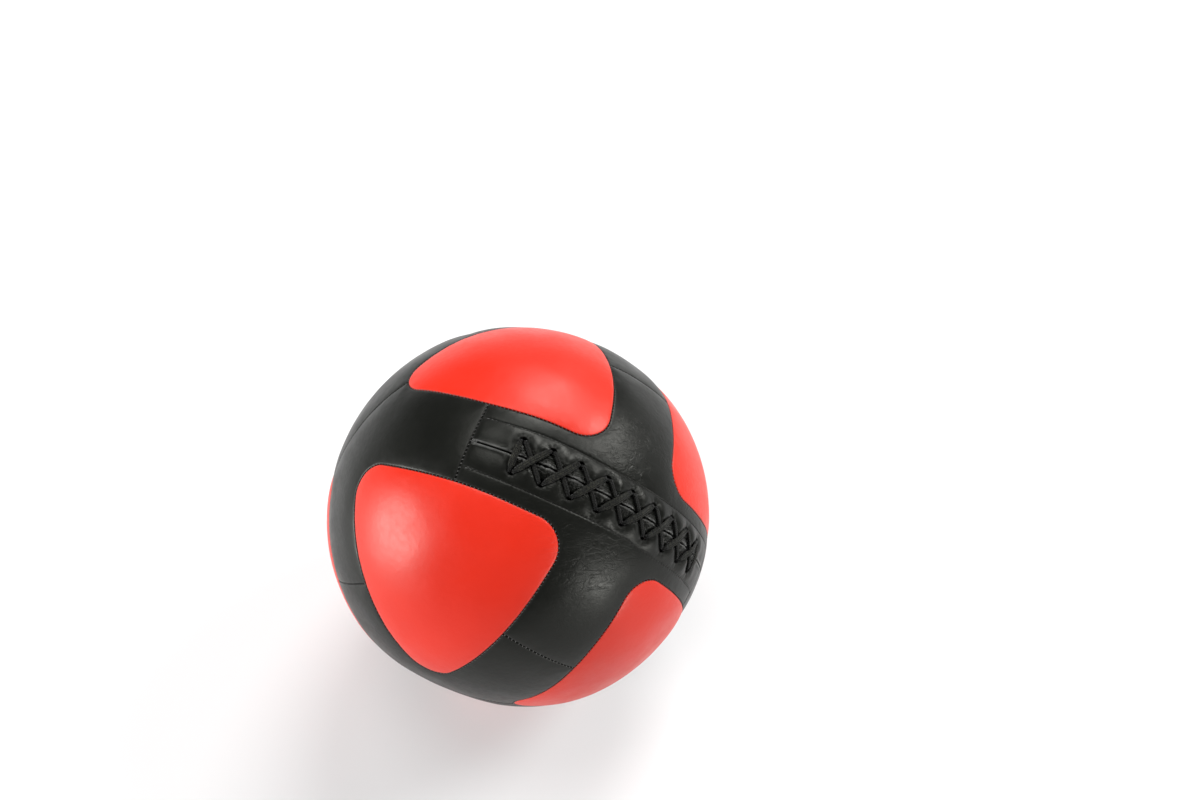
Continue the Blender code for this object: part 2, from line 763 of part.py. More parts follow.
def hole_stretch(slot, leaves_outside):
    """Stations of gathered lace through one hole, from outside to inside."""
    spot = strip_point(*slot)[None]
    cover = BALL_RADIUS - sag(spot)[0]
    top = lace_face(spot, np.array([PANEL_CROWN_REACH]))[0]
    radii = (top, cover - FACING_DEPTH - FACING_WALL)
    across = np.array((1, 0))
    stations = [(*slot, radius, across, LACE_GATHERED_WIDTH, LACE_GATHERED_DEPTH) for radius in radii]
    return stations if leaves_outside else stations[::-1]


def under_stretch(start, end, depth, from_hole=True, to_hole=True):
    """Stations of lace behind the facings, between two slots or from the knot."""
    start, end = np.array(start), np.array(end)
    length = np.linalg.norm(end - start)
    deeper = depth - UPPER_BAR_DEPTH
    bends = [(away * LACE_BEND / length, drop * LACE_BEND, gathered)
             for away, drop, gathered in BEND_SHARES]
    near = bends if from_hole else [(0, 0, 0)]
    far = bends if to_hole else [(0, 0, 0)]
    places = [*near, (0.5, 0, 0), *((1 - place, drop, gathered) for place, drop, gathered in far[::-1])]
    stations = []
    for place, drop, gathered in places:
        here = start + (end - start) * place
        radius = BALL_RADIUS - sag(strip_point(*here)[None])[0] - depth + drop
        width = LACE_UNDER_WIDTH + (LACE_GATHERED_WIDTH - LACE_UNDER_WIDTH) * gathered
        thickness = LACE_THICKNESS + (LACE_GATHERED_DEPTH - LACE_THICKNESS) * gathered ** 2
        stations.append((*here, radius, np.array((1, 0)), width, thickness))
        if drop == max(bend[1] for bend in bends) and deeper > 0:
            straight = (*here, radius + deeper, np.array((1, 0)), LACE_GATHERED_WIDTH, LACE_GATHERED_DEPTH)
            stations.insert(len(stations) - 1 if place < 0.5 else len(stations), straight)
    return stations


def slot(pair, row, side):
    """Where a strand passes a hole: its pair, its row and its side of the hole."""
    along = (pair - (PAIR_COUNT - 1) / 2) * LACE_PITCH + side * SLOT_OFFSET
    return along, row * HOLE_ROW_OFFSET


def lace_route():
    """All stations of the lace, from one end at the knot to the other.

    It comes up at the last pair, bars it, and crosses back over each pair to
    the first.  There it bars the slit again and returns under its first run.
    """
    last = PAIR_COUNT - 1
    knot_face = last / 2 * LACE_PITCH + KNOT_SETBACK - KNOT_LENGTH / 2 - LACE_GAP
    upper, lower = 1, -1
    left, right = -1, 1
    lift = LACE_THICKNESS + LACE_GAP
    first_end = (knot_face, KNOT_WIDTH / 2)
    route = under_stretch(first_end, slot(last, upper, right), LOWER_BAR_DEPTH, from_hole=False)
    route += hole_stretch(slot(last, upper, right), False)
    route += outside_stretch(slot(last, upper, right), slot(last, lower, right), 0)
    route += hole_stretch(slot(last, lower, right), True)
    for pair in range(last, -1, -1):
        route += under_stretch(slot(pair, lower, right), slot(pair, upper, left), UPPER_BAR_DEPTH)
        route += hole_stretch(slot(pair, upper, left), False)
        if pair > 0:
            route += outside_stretch(slot(pair, upper, left), slot(pair - 1, lower, right), lift)
            route += hole_stretch(slot(pair - 1, lower, right), True)
    route += outside_stretch(slot(0, upper, left), slot(0, lower, left), 0)
    route += hole_stretch(slot(0, lower, left), True)
    for pair in range(last):
        route += under_stretch(slot(pair, lower, left), slot(pair, upper, right), LOWER_BAR_DEPTH)
        route += hole_stretch(slot(pair, upper, right), False)
        route += outside_stretch(slot(pair, upper, right), slot(pair + 1, lower, left), 0)
        route += hole_stretch(slot(pair + 1, lower, left), True)
    inner_end = (slot(last, lower, left)[0], -KNOT_WIDTH / 2)
    route += under_stretch(slot(last, lower, left), inner_end, LOWER_BAR_DEPTH, to_hole=False)
    route += under_stretch(inner_end, (knot_face, 0), LOWER_BAR_DEPTH, False, False)[1:]
    return route


def build_lace():
    """Sweep the lace's section along its route, and print what it measures."""
    route = lace_route()
    centres = np.array([strip_point(a, c) * radius for a, c, radius, *_ in route])
    ahead = np.gradient(centres, axis=0)
    rings = []
    for centre, heading, station in zip(centres, unit(ahead), route):
        along, across, _, width_line, width, thickness = station
        reach = np.array(width_line) * LACE_GATHERED_WIDTH
        beside = strip_point(along + reach[0], across + reach[1]) - strip_point(along, across)
        beside = unit(beside - heading * (beside @ heading))
        normal = np.cross(heading, beside)
        for wide, thick in LACE_SECTION_SHARES:
            rings.append(centre + beside * wide * width / 2 + normal * thick * thickness / 2)
    rings = np.array(rings)
    count, sides = len(route), len(LACE_SECTION_SHARES)
    faces = []
    for k in range(count - 1):
        for j in range(sides):
            here, there = k * sides + j, k * sides + (j + 1) % sides
            faces.append((here, there, there + sides, here + sides))
    faces.append(tuple(range(sides)))
    faces.append(tuple(range((count - 1) * sides, count * sides)))
    add_part("lace", closed_mesh("lace", rings, faces), LACE_CORD)
    steps = np.linalg.norm(np.diff(centres, axis=0), axis=1)
    run = np.repeat(np.concatenate([[0], np.cumsum(steps)]), sides)
    least = min_self_gap(rings, run, 4 * LACE_WIDTH)
    print(f"lace length {run[-1]:.4f} m, least gap to itself {least * 1000:.2f} mm")


def min_self_gap(points, run, apart):
    """Least distance between points whose places along a route lie apart."""
    least = np.inf
    for point, place in zip(points, run):
        others = points[np.abs(run - place) > apart]
        least = min(least, np.linalg.norm(others - point, axis=1).min())
    return least


def build_knot():
    """The knot that ties the two ends of the lace behind the last pair."""
    build = bmesh.new()
    bmesh.ops.create_uvsphere(build, u_segments=10, v_segments=6, radius=1)
    along = (PAIR_COUNT - 1) / 2 * LACE_PITCH + KNOT_SETBACK
    out = strip_point(along, 0)
    east = np.array((-out[1], out[0], 0))
    sizes = (KNOT_THICKNESS / 2, KNOT_LENGTH / 2, KNOT_WIDTH / 2)
    depth = LOWER_BAR_DEPTH - LACE_THICKNESS / 2 + (KNOT_THICKNESS - LACE_THICKNESS) / 4
    middle = out * (BALL_RADIUS - sag(out[None])[0] - depth)
    for vertex in build.verts:
        place = middle + out * vertex.co.x * sizes[0] + east * vertex.co.y * sizes[1]
        vertex.co = place + np.array((0, 0, vertex.co.z * sizes[2]))
    mesh = bpy.data.meshes.new("lace_knot")
    build.to_mesh(mesh)
    build.free()
    mesh.shade_smooth()
    add_part("lace_knot", mesh, LACE_CORD)


# What is inside

def turned_mesh(name, profile):
    """A profile of distances along +X and radii, turned about that line."""
    build = bmesh.new()
    rings = [build.verts.new((radius, 0, along)) for along, radius in profile]
    for start, end in zip(rings, rings[1:]):
        build.edges.new((start, end))
    mesh = bpy.data.meshes.new(name)
    build.to_mesh(mesh)
    build.free()
    helper = bpy.data.objects.new(name + "_profile", mesh)
    CUTTERS.objects.link(helper)
    screw = helper.modifiers.new("turn", "SCREW")
    screw.steps = TURNED_STEPS
    screw.render_steps = TURNED_STEPS
    screw.use_merge_vertices = True
    screw.merge_threshold = MERGE_DISTANCE
    bpy.context.view_layer.update()
    turned = bpy.data.meshes.new_from_object(helper.evaluated_get(bpy.context.evaluated_depsgraph_get()))
    bpy.data.objects.remove(helper)
    turned.name = name
    build = bmesh.new()
    build.from_mesh(turned)
    for vertex in build.verts:
        vertex.co = (vertex.co.z, vertex.co.x, vertex.co.y)
    bmesh.ops.remove_doubles(build, verts=build.verts, dist=MERGE_DISTANCE)
    bmesh.ops.recalc_face_normals(build, faces=build.faces)
    build.to_mesh(turned)
    build.free()
    turned.shade_smooth()
    return turned


def bag_profile(grow, top):
    """Half the outline of the tied bag, grown by a clearance, up to a level."""
    radius = BAG_RADIUS + grow
    neck = BAG_NECK_RADIUS + grow
    rise = math.sqrt(radius ** 2 - (neck + BAG_SHOULDER) ** 2)
    profile = []
    start = math.asin((neck + BAG_SHOULDER) / radius)
    for turn in np.linspace(math.pi, start, BAG_BODY_PARTS):
        profile.append((radius * math.cos(turn), radius * math.sin(turn)))
    for turn in np.linspace(math.pi / 2, 0, BAG_SHOULDER_PARTS)[1:]:
        swing = BAG_SHOULDER * math.sin(turn)
        profile.append((rise + BAG_SHOULDER * math.cos(turn), neck + swing))
    profile.append((top, neck))
    return profile


def build_filling():
    neck_start = math.sqrt(BAG_RADIUS ** 2 - (BAG_NECK_RADIUS + BAG_SHOULDER) ** 2) + BAG_SHOULDER
    neck_end = neck_start + BAG_NECK_LENGTH
    outer = bag_profile(0, neck_end) + [(neck_end + BAG_MOUTH_FLARE, BAG_NECK_RADIUS + BAG_MOUTH_FLARE)]
    inner = bag_profile(-BAG_WALL, neck_end)
    inner += [(neck_end + BAG_MOUTH_FLARE, BAG_NECK_RADIUS + BAG_MOUTH_FLARE - BAG_WALL)]
    add_part("weight_bag", turned_mesh("weight_bag", outer + inner[::-1]), CANVAS)

    level = neck_start - BAG_SHOULDER - SAND_LEVEL_DROP
    sand = [point for point in bag_profile(-BAG_WALL - SEAT_GAP, neck_end) if point[0] < level]
    sand.append((sand[-1][0], 0))
    add_part("iron_sand", turned_mesh("iron_sand", sand), IRON_SAND)

    bpy.ops.mesh.primitive_torus_add(
        major_segments=TURNED_STEPS, minor_segments=TIE_SIDES,
        major_radius=BAG_NECK_RADIUS + TIE_WIRE / 2 + SEAT_GAP, minor_radius=TIE_WIRE / 2)
    tie = bpy.context.active_object
    for holder in tie.users_collection:
        holder.objects.unlink(tie)
    tie.data.shade_smooth()
    mesh = tie.data
    bpy.data.objects.remove(tie)
    tie = add_part("bag_tie", mesh, LACE_CORD)
    tie.rotation_euler = (0, math.pi / 2, 0)
    tie.location = ((neck_start + neck_end) / 2, 0, 0)

    build = bmesh.new()
    bmesh.ops.create_icosphere(build, subdivisions=FILL_SUBDIVISIONS, radius=1)
    directions = unit([vertex.co for vertex in build.verts])
    radii = shell_radius(directions, COVER_DEPTH + FILL_CLEARANCE, LEATHER_WALL + FILL_CLEARANCE)
    for vertex, direction, radius in zip(build.verts, directions, radii):
        vertex.co = direction * radius
    mesh = bpy.data.meshes.new("fibre_fill")
    build.to_mesh(mesh)
    build.free()
    mesh.shade_smooth()
    fill = add_part("fibre_fill", mesh, FIBRE)

    pocket = strip_layer("lacing_pocket", SLIT_HALF_LENGTH - FACING_END_MARGIN + POCKET_MARGIN,
                         TONGUE_WIDTH / 2 + POCKET_MARGIN, -CUT_OVERRUN, POCKET_DEPTH)
    pocket = add_cutter("lacing_pocket", pocket)
    cut(fill, pocket)
    room = BAG_NECK_RADIUS + max(BAG_MOUTH_FLARE, TIE_WIRE + SEAT_GAP) + SEAT_GAP
    room_top = neck_end + BAG_MOUTH_FLARE + SEAT_GAP
    around = bag_profile(SEAT_GAP, neck_start)
    body = [point for point in around if point[0] < 0 or point[1] > room]
    bag_space = body + [(around[len(body)][0], room), (room_top, room), (room_top, 0)]
    bag_space = add_cutter("bag_space", turned_mesh("bag_space", bag_space))
    cut(fill, bag_space)
    cut(fill, add_cutter("filling_well", stadium("filling_well", 0, WELL_TOP)))

    plug = add_part("fill_plug", stadium("fill_plug", SEAT_GAP, WELL_TOP), FIBRE)
    cut(plug, pocket)
    cut(plug, bag_space)


def stadium(name, clearance, high):
    """An upright block with round ends, from the ball's middle to a level."""
    half_width = WELL_WIDTH / 2 - clearance
    centre = (WELL_LENGTH - WELL_WIDTH) / 2
    turn = np.linspace(-math.pi / 2, math.pi / 2, WELL_END_PARTS)
    rounded = np.stack([centre + half_width * np.cos(turn), half_width * np.sin(turn)], 1)
    outline = np.vstack([rounded, -rounded])
    build = bmesh.new()
    floor = [build.verts.new((0, y, z)) for y, z in outline]
    face = build.faces.new(floor)
    lifted = bmesh.ops.extrude_face_region(build, geom=[face])["geom"]
    moved = [item for item in lifted if isinstance(item, bmesh.types.BMVert)]
    bmesh.ops.translate(build, verts=moved, vec=(high, 0, 0))
    bmesh.ops.recalc_face_normals(build, faces=build.faces)
    mesh = bpy.data.meshes.new(name)
    build.to_mesh(mesh)
    build.free()
    return mesh


def make_attitude_empty():
    """The empty that turns the cover's frame into the way the ball lies."""
    empty = bpy.data.objects.new("ball_attitude", None)
    PARTS.objects.link(empty)
    empty.empty_display_size = BALL_RADIUS
    empty.rotation_euler = ATTITUDE.to_euler()
    empty.location = (0, 0, CENTRE_HEIGHT)
    return empty


def centre_on_origin():
    """Slide the ball over the floor until its box stands centred on the origin."""
    bpy.context.view_layer.update()
    places = []
    for part in PARTS.objects:
        if part.type == "MESH":
            places += [part.matrix_world @ vertex.co for vertex in part.data.vertices]
    places = np.array(places)
    middle = (places.min(axis=0) + places.max(axis=0)) / 2
    ATTITUDE_EMPTY.location.x -= middle[0]
    ATTITUDE_EMPTY.location.y -= middle[1]


ATTITUDE_EMPTY = make_attitude_empty()
build_red_panels()
build_elbow_panels()
build_lace_panels()
build_facings_and_tongue()
build_lace()
build_knot()
build_filling()
centre_on_origin()
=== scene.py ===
"""The looks of a soft wall ball with a laced cover.

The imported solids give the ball's size and where it lies.  Every piece of the
cover that shows is made again here at a fine scale: panels that roll into their
seams and pucker at each stitch, thread, the folded lips and puffs of the laced
slit, and the woven lace.  The cover is drawn in a frame of its own: +X leaves
the ball through the middle of the slit, +Y is to the right of someone who looks
at it, and +Z is up.  Lengths are in metres and angles in radians.
"""

import json
from math import acos, asin, atan2, cos, pi, radians, sin, sqrt, tan

import bmesh
import bpy
import numpy as np
from mathutils import Euler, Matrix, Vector, kdtree
from mathutils.geometry import delaunay_2d_cdt
from numpy.linalg import norm, solve


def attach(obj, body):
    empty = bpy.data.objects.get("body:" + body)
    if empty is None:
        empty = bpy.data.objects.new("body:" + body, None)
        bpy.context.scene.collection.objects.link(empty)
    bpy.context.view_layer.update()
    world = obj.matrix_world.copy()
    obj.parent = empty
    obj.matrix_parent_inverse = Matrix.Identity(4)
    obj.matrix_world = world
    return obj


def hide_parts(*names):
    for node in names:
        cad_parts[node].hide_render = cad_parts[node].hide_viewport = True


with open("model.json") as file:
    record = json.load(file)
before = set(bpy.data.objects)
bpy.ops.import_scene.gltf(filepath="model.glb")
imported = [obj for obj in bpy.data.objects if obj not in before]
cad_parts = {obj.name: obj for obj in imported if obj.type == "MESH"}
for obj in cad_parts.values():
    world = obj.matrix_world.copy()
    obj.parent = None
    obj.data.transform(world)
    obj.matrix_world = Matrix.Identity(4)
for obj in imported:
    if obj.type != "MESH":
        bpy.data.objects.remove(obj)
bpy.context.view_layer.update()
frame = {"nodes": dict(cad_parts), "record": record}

# The ball, as the solids have it
RADIUS = 0.175
BASE_SQUASH = 0.005
CENTRE_HEIGHT = RADIUS - BASE_SQUASH
JUNCTION_SAG = 0.0065
JUNCTION_SAG_REACH = 0.069
LACED_AZIMUTH = radians(-36.4)
LACED_ELEVATION = radians(47.1)
LACED_ROLL = radians(-69.3)
BAND_WIDTH = 0.069
CORNER_RADIUS = 0.026
COVER_DEPTH = 0.0037
LEATHER_WALL = 0.0015

# Below, a hump is its height and its reach, and lumps are their size and a seed

# How the leather lies near a seam: it rolls in, sinks round it and is crowned
SEAM_GAP = 0.0003
EDGE_ROLL = 0.0010
EDGE_DROP = 0.0008
SEAM_SINK = (0.00012, 0.0026)
PANEL_CROWN = 0.0008
PANEL_CROWN_REACH = 0.020

# Unevenness of the stuffed leather
LUMPS, LUMP_HEIGHT = (0.045, 3.7), 0.00045
RIPPLES, RIPPLE_HEIGHT = (0.013, 8.1), 0.00005
PUCKERS, PUCKER_HEIGHT = (0.0065, 5.3), 0.00014
PUCKER_REACH, PUCKER_END = 0.009, 0.027

# Where leather is sharply folded outward it is painted paler, partly as wear and
# partly as a painted highlight, and is less rough; where it is folded inward it is
# darker with painted shade
FOLD_MARK = "fold"
FOLD_REACH = 0.0007
# A pale band beside seams: partly stretched coating, partly a painted highlight
SEAM_FOLD = 0.10
SEAM_FOLD_OFFSET = 0.0008
# Painted shade in the topstitch groove
GROOVE_PAINTED_SHADE = 0.6
# Painted highlight on the holes' outer rims
RIM_PAINTED_HIGHLIGHT = 0.20
# How far painted shade reaches into the bottoms of seams, the slit and the holes
CREVICE_REACH = 0.0005
FOLD_ZONE_MARGIN = 0.002
# The lips' crests are painted paler, partly wear and partly painted glints, most level with the
# holes: lumps, level, spread and least share
CREST_WEAR_AND_GLINT, CREST_WEAR_AND_GLINT_LEVEL, CREST_WEAR_AND_GLINT_SPREAD, CREST_WEAR_AND_GLINT_LOW = (0.005, 3.3), 0.75, 0.5, 0.25

# Stitches along the seams
STITCH_PITCH = 0.0033
STITCH_LENGTH = 0.0022
STITCH_RADIUS = 0.00031
STITCH_DEPTH = 0.00015
STITCH_BOW = 0.0004
STITCH_LEAN = radians(18)
STITCH_PINCH, PINCH_END = (0.00025, 0.0010), 0.0040
THREAD_SIDES = 6
# Along a stitch, as shares of its half length and its radius
THREAD_PROFILE = ((-1, 0.35), (-0.8, 0.85), (-0.3, 1), (0.3, 1), (0.8, 0.85), (1, 0.35))

# The laced slit
PAIR_COUNT = 9
LACE_PITCH = 0.0245
LACED_END = LACE_PITCH * 0.38
LACED_LEAST = 0.01
WANDER, WANDER_SQUEEZE = (0.011, 2.9), 0.2
HOLE_ROW_OFFSET = 0.0123
HOLE_DIAMETER = 0.0066
HOLE_DIMPLE = (0.0005, 0.0042)
HOLE_FOLD_HEIGHT = 0.00030
HOLE_FOLD_REACH = 0.0042
HOLE_FOLDS = 7
HOLE_FOLD_LEVEL = 0.4
SPOKES, SPOKE_WANDER = (0.004, 1.3), 3
SLIT_GAP = 0.0009
LIP_RADIUS = 0.0013
LIP_RISE, LIP_LOW = 0.0021, 0.3
LIP_REACH = 0.0054
LIP_END = 0.0040
LIP_WANDER = 0.3
LIP_DROP = 1.4
SEWN_LIP_RADIUS = 0.0014
SEWN_LIP_RISE = 0.0012
SEWN_LIP_REACH = 0.0009
CRINKLES, CRINKLE_HEIGHT = (0.0032, 7.7), 0.00120
CRINKLE_REACH, CRINKLE_END = 0.0056, 0.0140
CRINKLE_SQUEEZE = (0.8, 1.5)
WARP, WARP_DEPTH = (0.012, 4.4), 0.004
LACE_EASE = 0.0015
PUFF_EASE = 0.0034
PUFF_RISE, PUFF_SKEW = 0.0028, 0.9
PUFF_PINCH = 0.70
PUFF_WANDER = 0.15
SEWN_PUFF_RISE = 0.0007
# How the strands press into the leather: those on top, and those tucked below them
PRESSES = ((0.0020, 0.0042), (0.0028, 0.0042))
PRESS_EASE = 0.75
TOPSTITCH_OFFSET = 0.0220
TOPSTITCH_GROOVE = (0.0006, 0.0006)
TOPSTITCH_SINK = (0.0002, 0.0035)
TOPSTITCH_BEAT = 0.00010
TOPSTITCH_BEAT_REACH = 0.0016
TOPSTITCH_PITCH = 0.0036
TOPSTITCH_LENGTH = 0.0026
TOPSTITCH_BED = STITCH_RADIUS * 0.8
TOPSTITCH_POINTS = 90
TOPSTITCH_ROWS = (0, 0.00045, -0.00045, 0.0010, -0.0010)
TACK_COUNT = 5
TACK_PITCH = 0.0009
TACK_LENGTH = 0.0046

# The layers under the slit
LAYER_GAP = 0.0005
FACING_WALL = 0.0012
FACING_MARGIN = 0.0030
FACING_END_MARGIN = 0.0050
TONGUE_WALL = 0.0012
TONGUE_WIDTH = 0.056
TONGUE_END_MARGIN = 0.0080

# The lace
LACE_WIDTH = 0.0054
LACE_THICKNESS = 0.0017
LACE_GATHERED_WIDTH = 0.0027
LACE_GATHERED_DEPTH = 0.0032
LACE_TUCKED_WIDTH = 0.0044
# How far tucked strands are rolled up; this also paints them darker with painted shade
LACE_TUCKED_ROLL = 0.6
LACE_UNDER_WIDTH = 0.0044
LACE_TWIST, LACE_TWISTS = radians(20), (0.021, 9.4)
LACE_WAVER, LACE_WAVERS = 0.11, (0.003, 6.1)
LACE_SECTION_POWERS = (0.75, 0.8)
LACE_FOLD, LACE_FOLDS = 0.28, 2.5
LACE_CUP = 0.10
LACE_GAP = 0.0008
LACE_BEND = 0.0030
LACE_REST_GAP = 0.00015
LACE_REST_SIDES = np.linspace(-0.8, 0.8, 5)
LACE_REST_MARGIN = LACE_BEND * 0.5
LACE_REST_WEIGHTS = (0.1, 0.2, 0.4, 0.2, 0.1)
LACE_CROSSING = LACE_WIDTH * 0.4
LACE_SHEEN = 0.08
KNOT_SETBACK = 0.0170
KNOT_LENGTH = 0.0120
KNOT_WIDTH = 0.0090
# Near a hole, as shares of the lace's bend: how far from the strand's slot, how
# far it has sunk, and how nearly it is gathered
BEND_SHARES = ((0.20, 0.35, 1.0), (0.53, 0.06, 0.78), (1.0, 0, 0.34))
WIDE_SHARE = 1.7
OUTSIDE_PLACE_SHARES = (0.2, 0.3, 0.4, 0.5, 0.6, 0.7, 0.8)

# Leather's looks.  Beside the slit it is crumpled, fully and then not at all at
# distances from the slit and from its middle, and creased further round it.
# How pale folds are painted (wear and painted highlight) and how dark crevices are painted (painted
# shade)
FOLD_PALENESS = 0.8
FOLD_POLISH = 0.10
CREVICE_PAINTED_SHADE = 0.85
SHEEN_TINT = (1, 1, 0.93)
CRUMPLE_ZONE = (0.0045, 0.0105)
CRUMPLE_LENGTH = (0.094, 0.101)
CRUMPLE_POLISH = 0.15
CREASE_ZONE = (0.045, 0.125)
CREASE_STRETCH = (0.35, 1.0, 1.0)
# Noise: its scale, detail and distortion
COLOUR_DRIFT, MOTTLE, SMEARS, PATCHES = (11, 3), (240, 2), (38, 4), (22, 1)
CRUMPLES, WRINKLES, UNDULATION, GRAIN = (330, 3, 1.5), (150, 4, 1), (520, 2), (1500, 3)
LACE_SHADE, FUZZ, THREAD_TWIST = (700, 3), (900, 4), (3000, 1)
# The scales of round cells, and how high the bumps are
PEBBLES, SAND_GRAINS = 1300, 1400
CRUMPLE_DEPTH, CREASE_DEPTH, MOTTLE_DEPTH = 0.0016, 0.00055, 0.00010
UNDULATION_DEPTH, GRAIN_DEPTH, SAND_DEPTH, TWIST_DEPTH = 0.00003, 0.00002, 0.0005, 0.0001

# Light: strengths at which 1 is white, and the heights of the walls' tops as sines
FLOOR_GAP = 0.0001
FLOOR_REACH = 12
FLOOR_LIFT = 0.38
FLOOR_COLOUR = (0.54, 0.54, 0.54)
WALL_LIGHT = 0.45
CEILING_LIGHT = 0.12
WALL_TOP = (0.05, 0.30)
WHITE = (1, 1, 1)
LIGHT_DISTANCE = 2
# Each soft light: name, azimuth and elevation of where it is, strength, and width
# in degrees.  An azimuth of 0 is at the camera's side, and 90 to its right.
SOFT_LIGHTS = (
    ("high_light", 159, 47, 2.1, 26),
    ("left_light", -73, 12, 3.5, 26),
    ("right_light", 114, 35, 1.9, 20),
    ("front_light", 45, 3, 1.5, 17),
    ("top_light", -150, 76, 0.8, 26),
)

# How finely surfaces are divided, and what points keep clear as shares of a step
EDGE_STEP = 0.0008
GRID_STEP = 0.0023
STRIP_GRID_STEP = 0.0009
BACK_STEP = 0.012
LACE_STEP = 0.0009
LACE_SIDES = 18
EDGE_ROWS = (0.00035, 0.0008, 0.0014, 0.0022, 0.0034, 0.0050)
ROW_ROOM, GRID_ROOM, STRIP_ROOM, LINE_ROOM = 0.93, 0.5, 0.6, 0.45
STRIP_MARGIN, STRIP_END_MARGIN = 0.004, 0.002
MERGE_DISTANCE = SEAM_GAP / 1000

# The photograph's camera, as fitted to the ball's outline, seams and floor
PHOTO_WIDTH = 1200
FOCAL_PIXELS = 946.5
MM = 1000
SENSOR_WIDTH = 0.036 * MM
NEAREST_SEEN, FURTHEST_SEEN = 0.02, 60
CAMERA_PITCH = radians(52.6)
CAMERA_FROM_BALL = Vector((0.0737, -0.4539, 0.7685))

# How far the sewn pattern strays from an even one: directions from the ball's
# middle, and what moves there, in millimetres.  The last ones stay where they are.
SEWING_DRIFT = np.array((
    (0.545, 0.162, -0.823, -2.4, 6.8, 0.0),
    (0.656, 0.212, -0.724, -2.8, 5.8, -0.9),
    (0.838, 0.199, -0.507, -1.1, 4.2, -0.1),
    (0.680, -0.192, -0.708, -0.1, 1.7, -0.5),
    (0.298, -0.232, -0.926, -3.4, 2.4, -1.6),
    (0.933, 0.283, -0.221, -1.0, 1.4, -2.5),
    (0.930, -0.294, 0.222, -0.7, -0.9, 1.9),
    (0.863, -0.458, 0.213, -1.0, -0.8, 2.5),
    (0.815, -0.200, 0.543, -0.2, 1.4, 0.9),
    (0.248, -0.938, 0.240, -3.4, -0.7, 0.6),
    (0.930, -0.307, -0.203, -0.4, -0.2, -1.6),
    (0.202, -0.869, -0.452, -2.2, -0.4, -0.2),
    (0.747, -0.635, -0.196, 0.1, -0.1, 0.8),
    (0.830, -0.557, -0.007, 0, 0, 0),
    (0.940, -0.340, -0.027, 0, 0, 0),
    (0.998, -0.027, -0.048, 0, 0, 0),
    (0.937, 0.342, -0.076, 0, 0, 0),
    (0.736, -0.677, 0.014, 0, 0, 0),
    (0.736, 0.666, -0.122, 0, 0, 0),
))
DRIFT_REACH = 0.045
DRIFT_EASE = 0.05

# Where the bands cross: in which direction, and its share of the sag.  Two twin
# panels round the corners of opposite octants there, of one parity or the other.
JUNCTIONS = {
    "front": ((1, 0, 0), 0.25),
    "left": ((0, -1, 0), 0.20),
    "bottom": ((0, 0, -1), 1.00),
    "top": ((0, 0, 1), 0.80),
    "right": ((0, 1, 0), 0.80),
    "back": ((-1, 0, 0), 0.40),
}
TWIN_PARITY = {"left": 1, "bottom": 1, "back": -1, "right": -1, "top": -1}
OCTANTS = [(x, y, z) for x in (1, -1) for y in (1, -1) for z in (1, -1)]

HALF_BAND = asin(BAND_WIDTH / 2 / RADIUS)
CORNER_ANGLE = CORNER_RADIUS / RADIUS
SEAM_INSET = SEAM_GAP / 2 / RADIUS
MID_SEAM = pi / 4
SLIT_REACH = MID_SEAM * RADIUS
LACED_REACH = (PAIR_COUNT - 1) / 2 * LACE_PITCH
FACING_DEPTH = COVER_DEPTH + LAYER_GAP
UPPER_BAR_DEPTH = FACING_DEPTH + FACING_WALL + LAYER_GAP + LACE_THICKNESS / 2
LOWER_BAR_DEPTH = UPPER_BAR_DEPTH + LACE_THICKNESS + LACE_GAP
TONGUE_DEPTH = LOWER_BAR_DEPTH + LACE_THICKNESS / 2 + LAYER_GAP
SLOT_OFFSET = (LACE_GATHERED_WIDTH + LACE_GAP) / 2

TURN = np.array(Euler((LACED_ROLL, -LACED_ELEVATION, LACED_AZIMUTH)).to_matrix())
DOWN = TURN.T @ np.array((0, 0, -1))
REST = next(mount for mount in frame["record"]["mounts"] if mount["name"] == "rest_face")
CENTRE = np.array(REST["pos_m"]) + np.array((0, 0, CENTRE_HEIGHT))


# Small tools

def unit(vectors):
    vectors = np.asarray(vectors, dtype=float)
    return vectors / norm(vectors, axis=-1, keepdims=True)


def mix(low, high, share):
    return low + (high - low) * share


def bell(distance, reach):
    return np.exp(-(distance / reach) ** 2)


def hump(distance, shape):
    return shape[0] * bell(distance, shape[1])


def rolled(inward, radius):
    """How far a round edge has fallen at a distance inward from its end, from 1 to 0."""
    return 1 - np.sqrt(1 - np.clip(1 - inward / radius, 0, 1) ** 2)


def scatter(numbers):
    """Whole numbers turned into others that look random, always the same ones."""
    mixed = (numbers ^ (numbers >> 13)) * 1274126177 & 0x7FFFFFFF
    return (mixed ^ (mixed >> 15)) * 22695477 & 0x7FFFFFFF


def lumps(kind, *columns):
    """Smooth noise from about -1 to 1 at places given by their three columns."""
    size, seed = kind
    places = np.stack(np.broadcast_arrays(*columns), 1) / size + seed * np.array((1, -1, 2))
    cell = np.floor(places).astype(np.int64)
    inside = places - cell
    fade = inside ** 3 * (inside * (inside * 6 - 15) + 10)
    total = np.zeros(len(places))
    for corner in np.ndindex(2, 2, 2):
        number = scatter((cell + corner) @ np.array((73856093, 19349663, 83492791)))
        turn = number * (2 * pi / 0x7FFFFFFF)
        level = scatter(number) * (2 / 0x7FFFFFFF) - 1
        flat = np.sqrt(1 - level ** 2)
        slope = np.stack([flat * np.cos(turn), flat * np.sin(turn), level], 1)
        weight = np.where(corner, fade, 1 - fade).prod(axis=1)
        total += weight * ((inside - corner) * slope).sum(axis=1)
    return 1.5 * total


def along_rows(places, run, rows):
    """What rows of numbers come to at places along a run."""
    return np.stack([np.interp(places, run, column) for column in rows.T], 1)


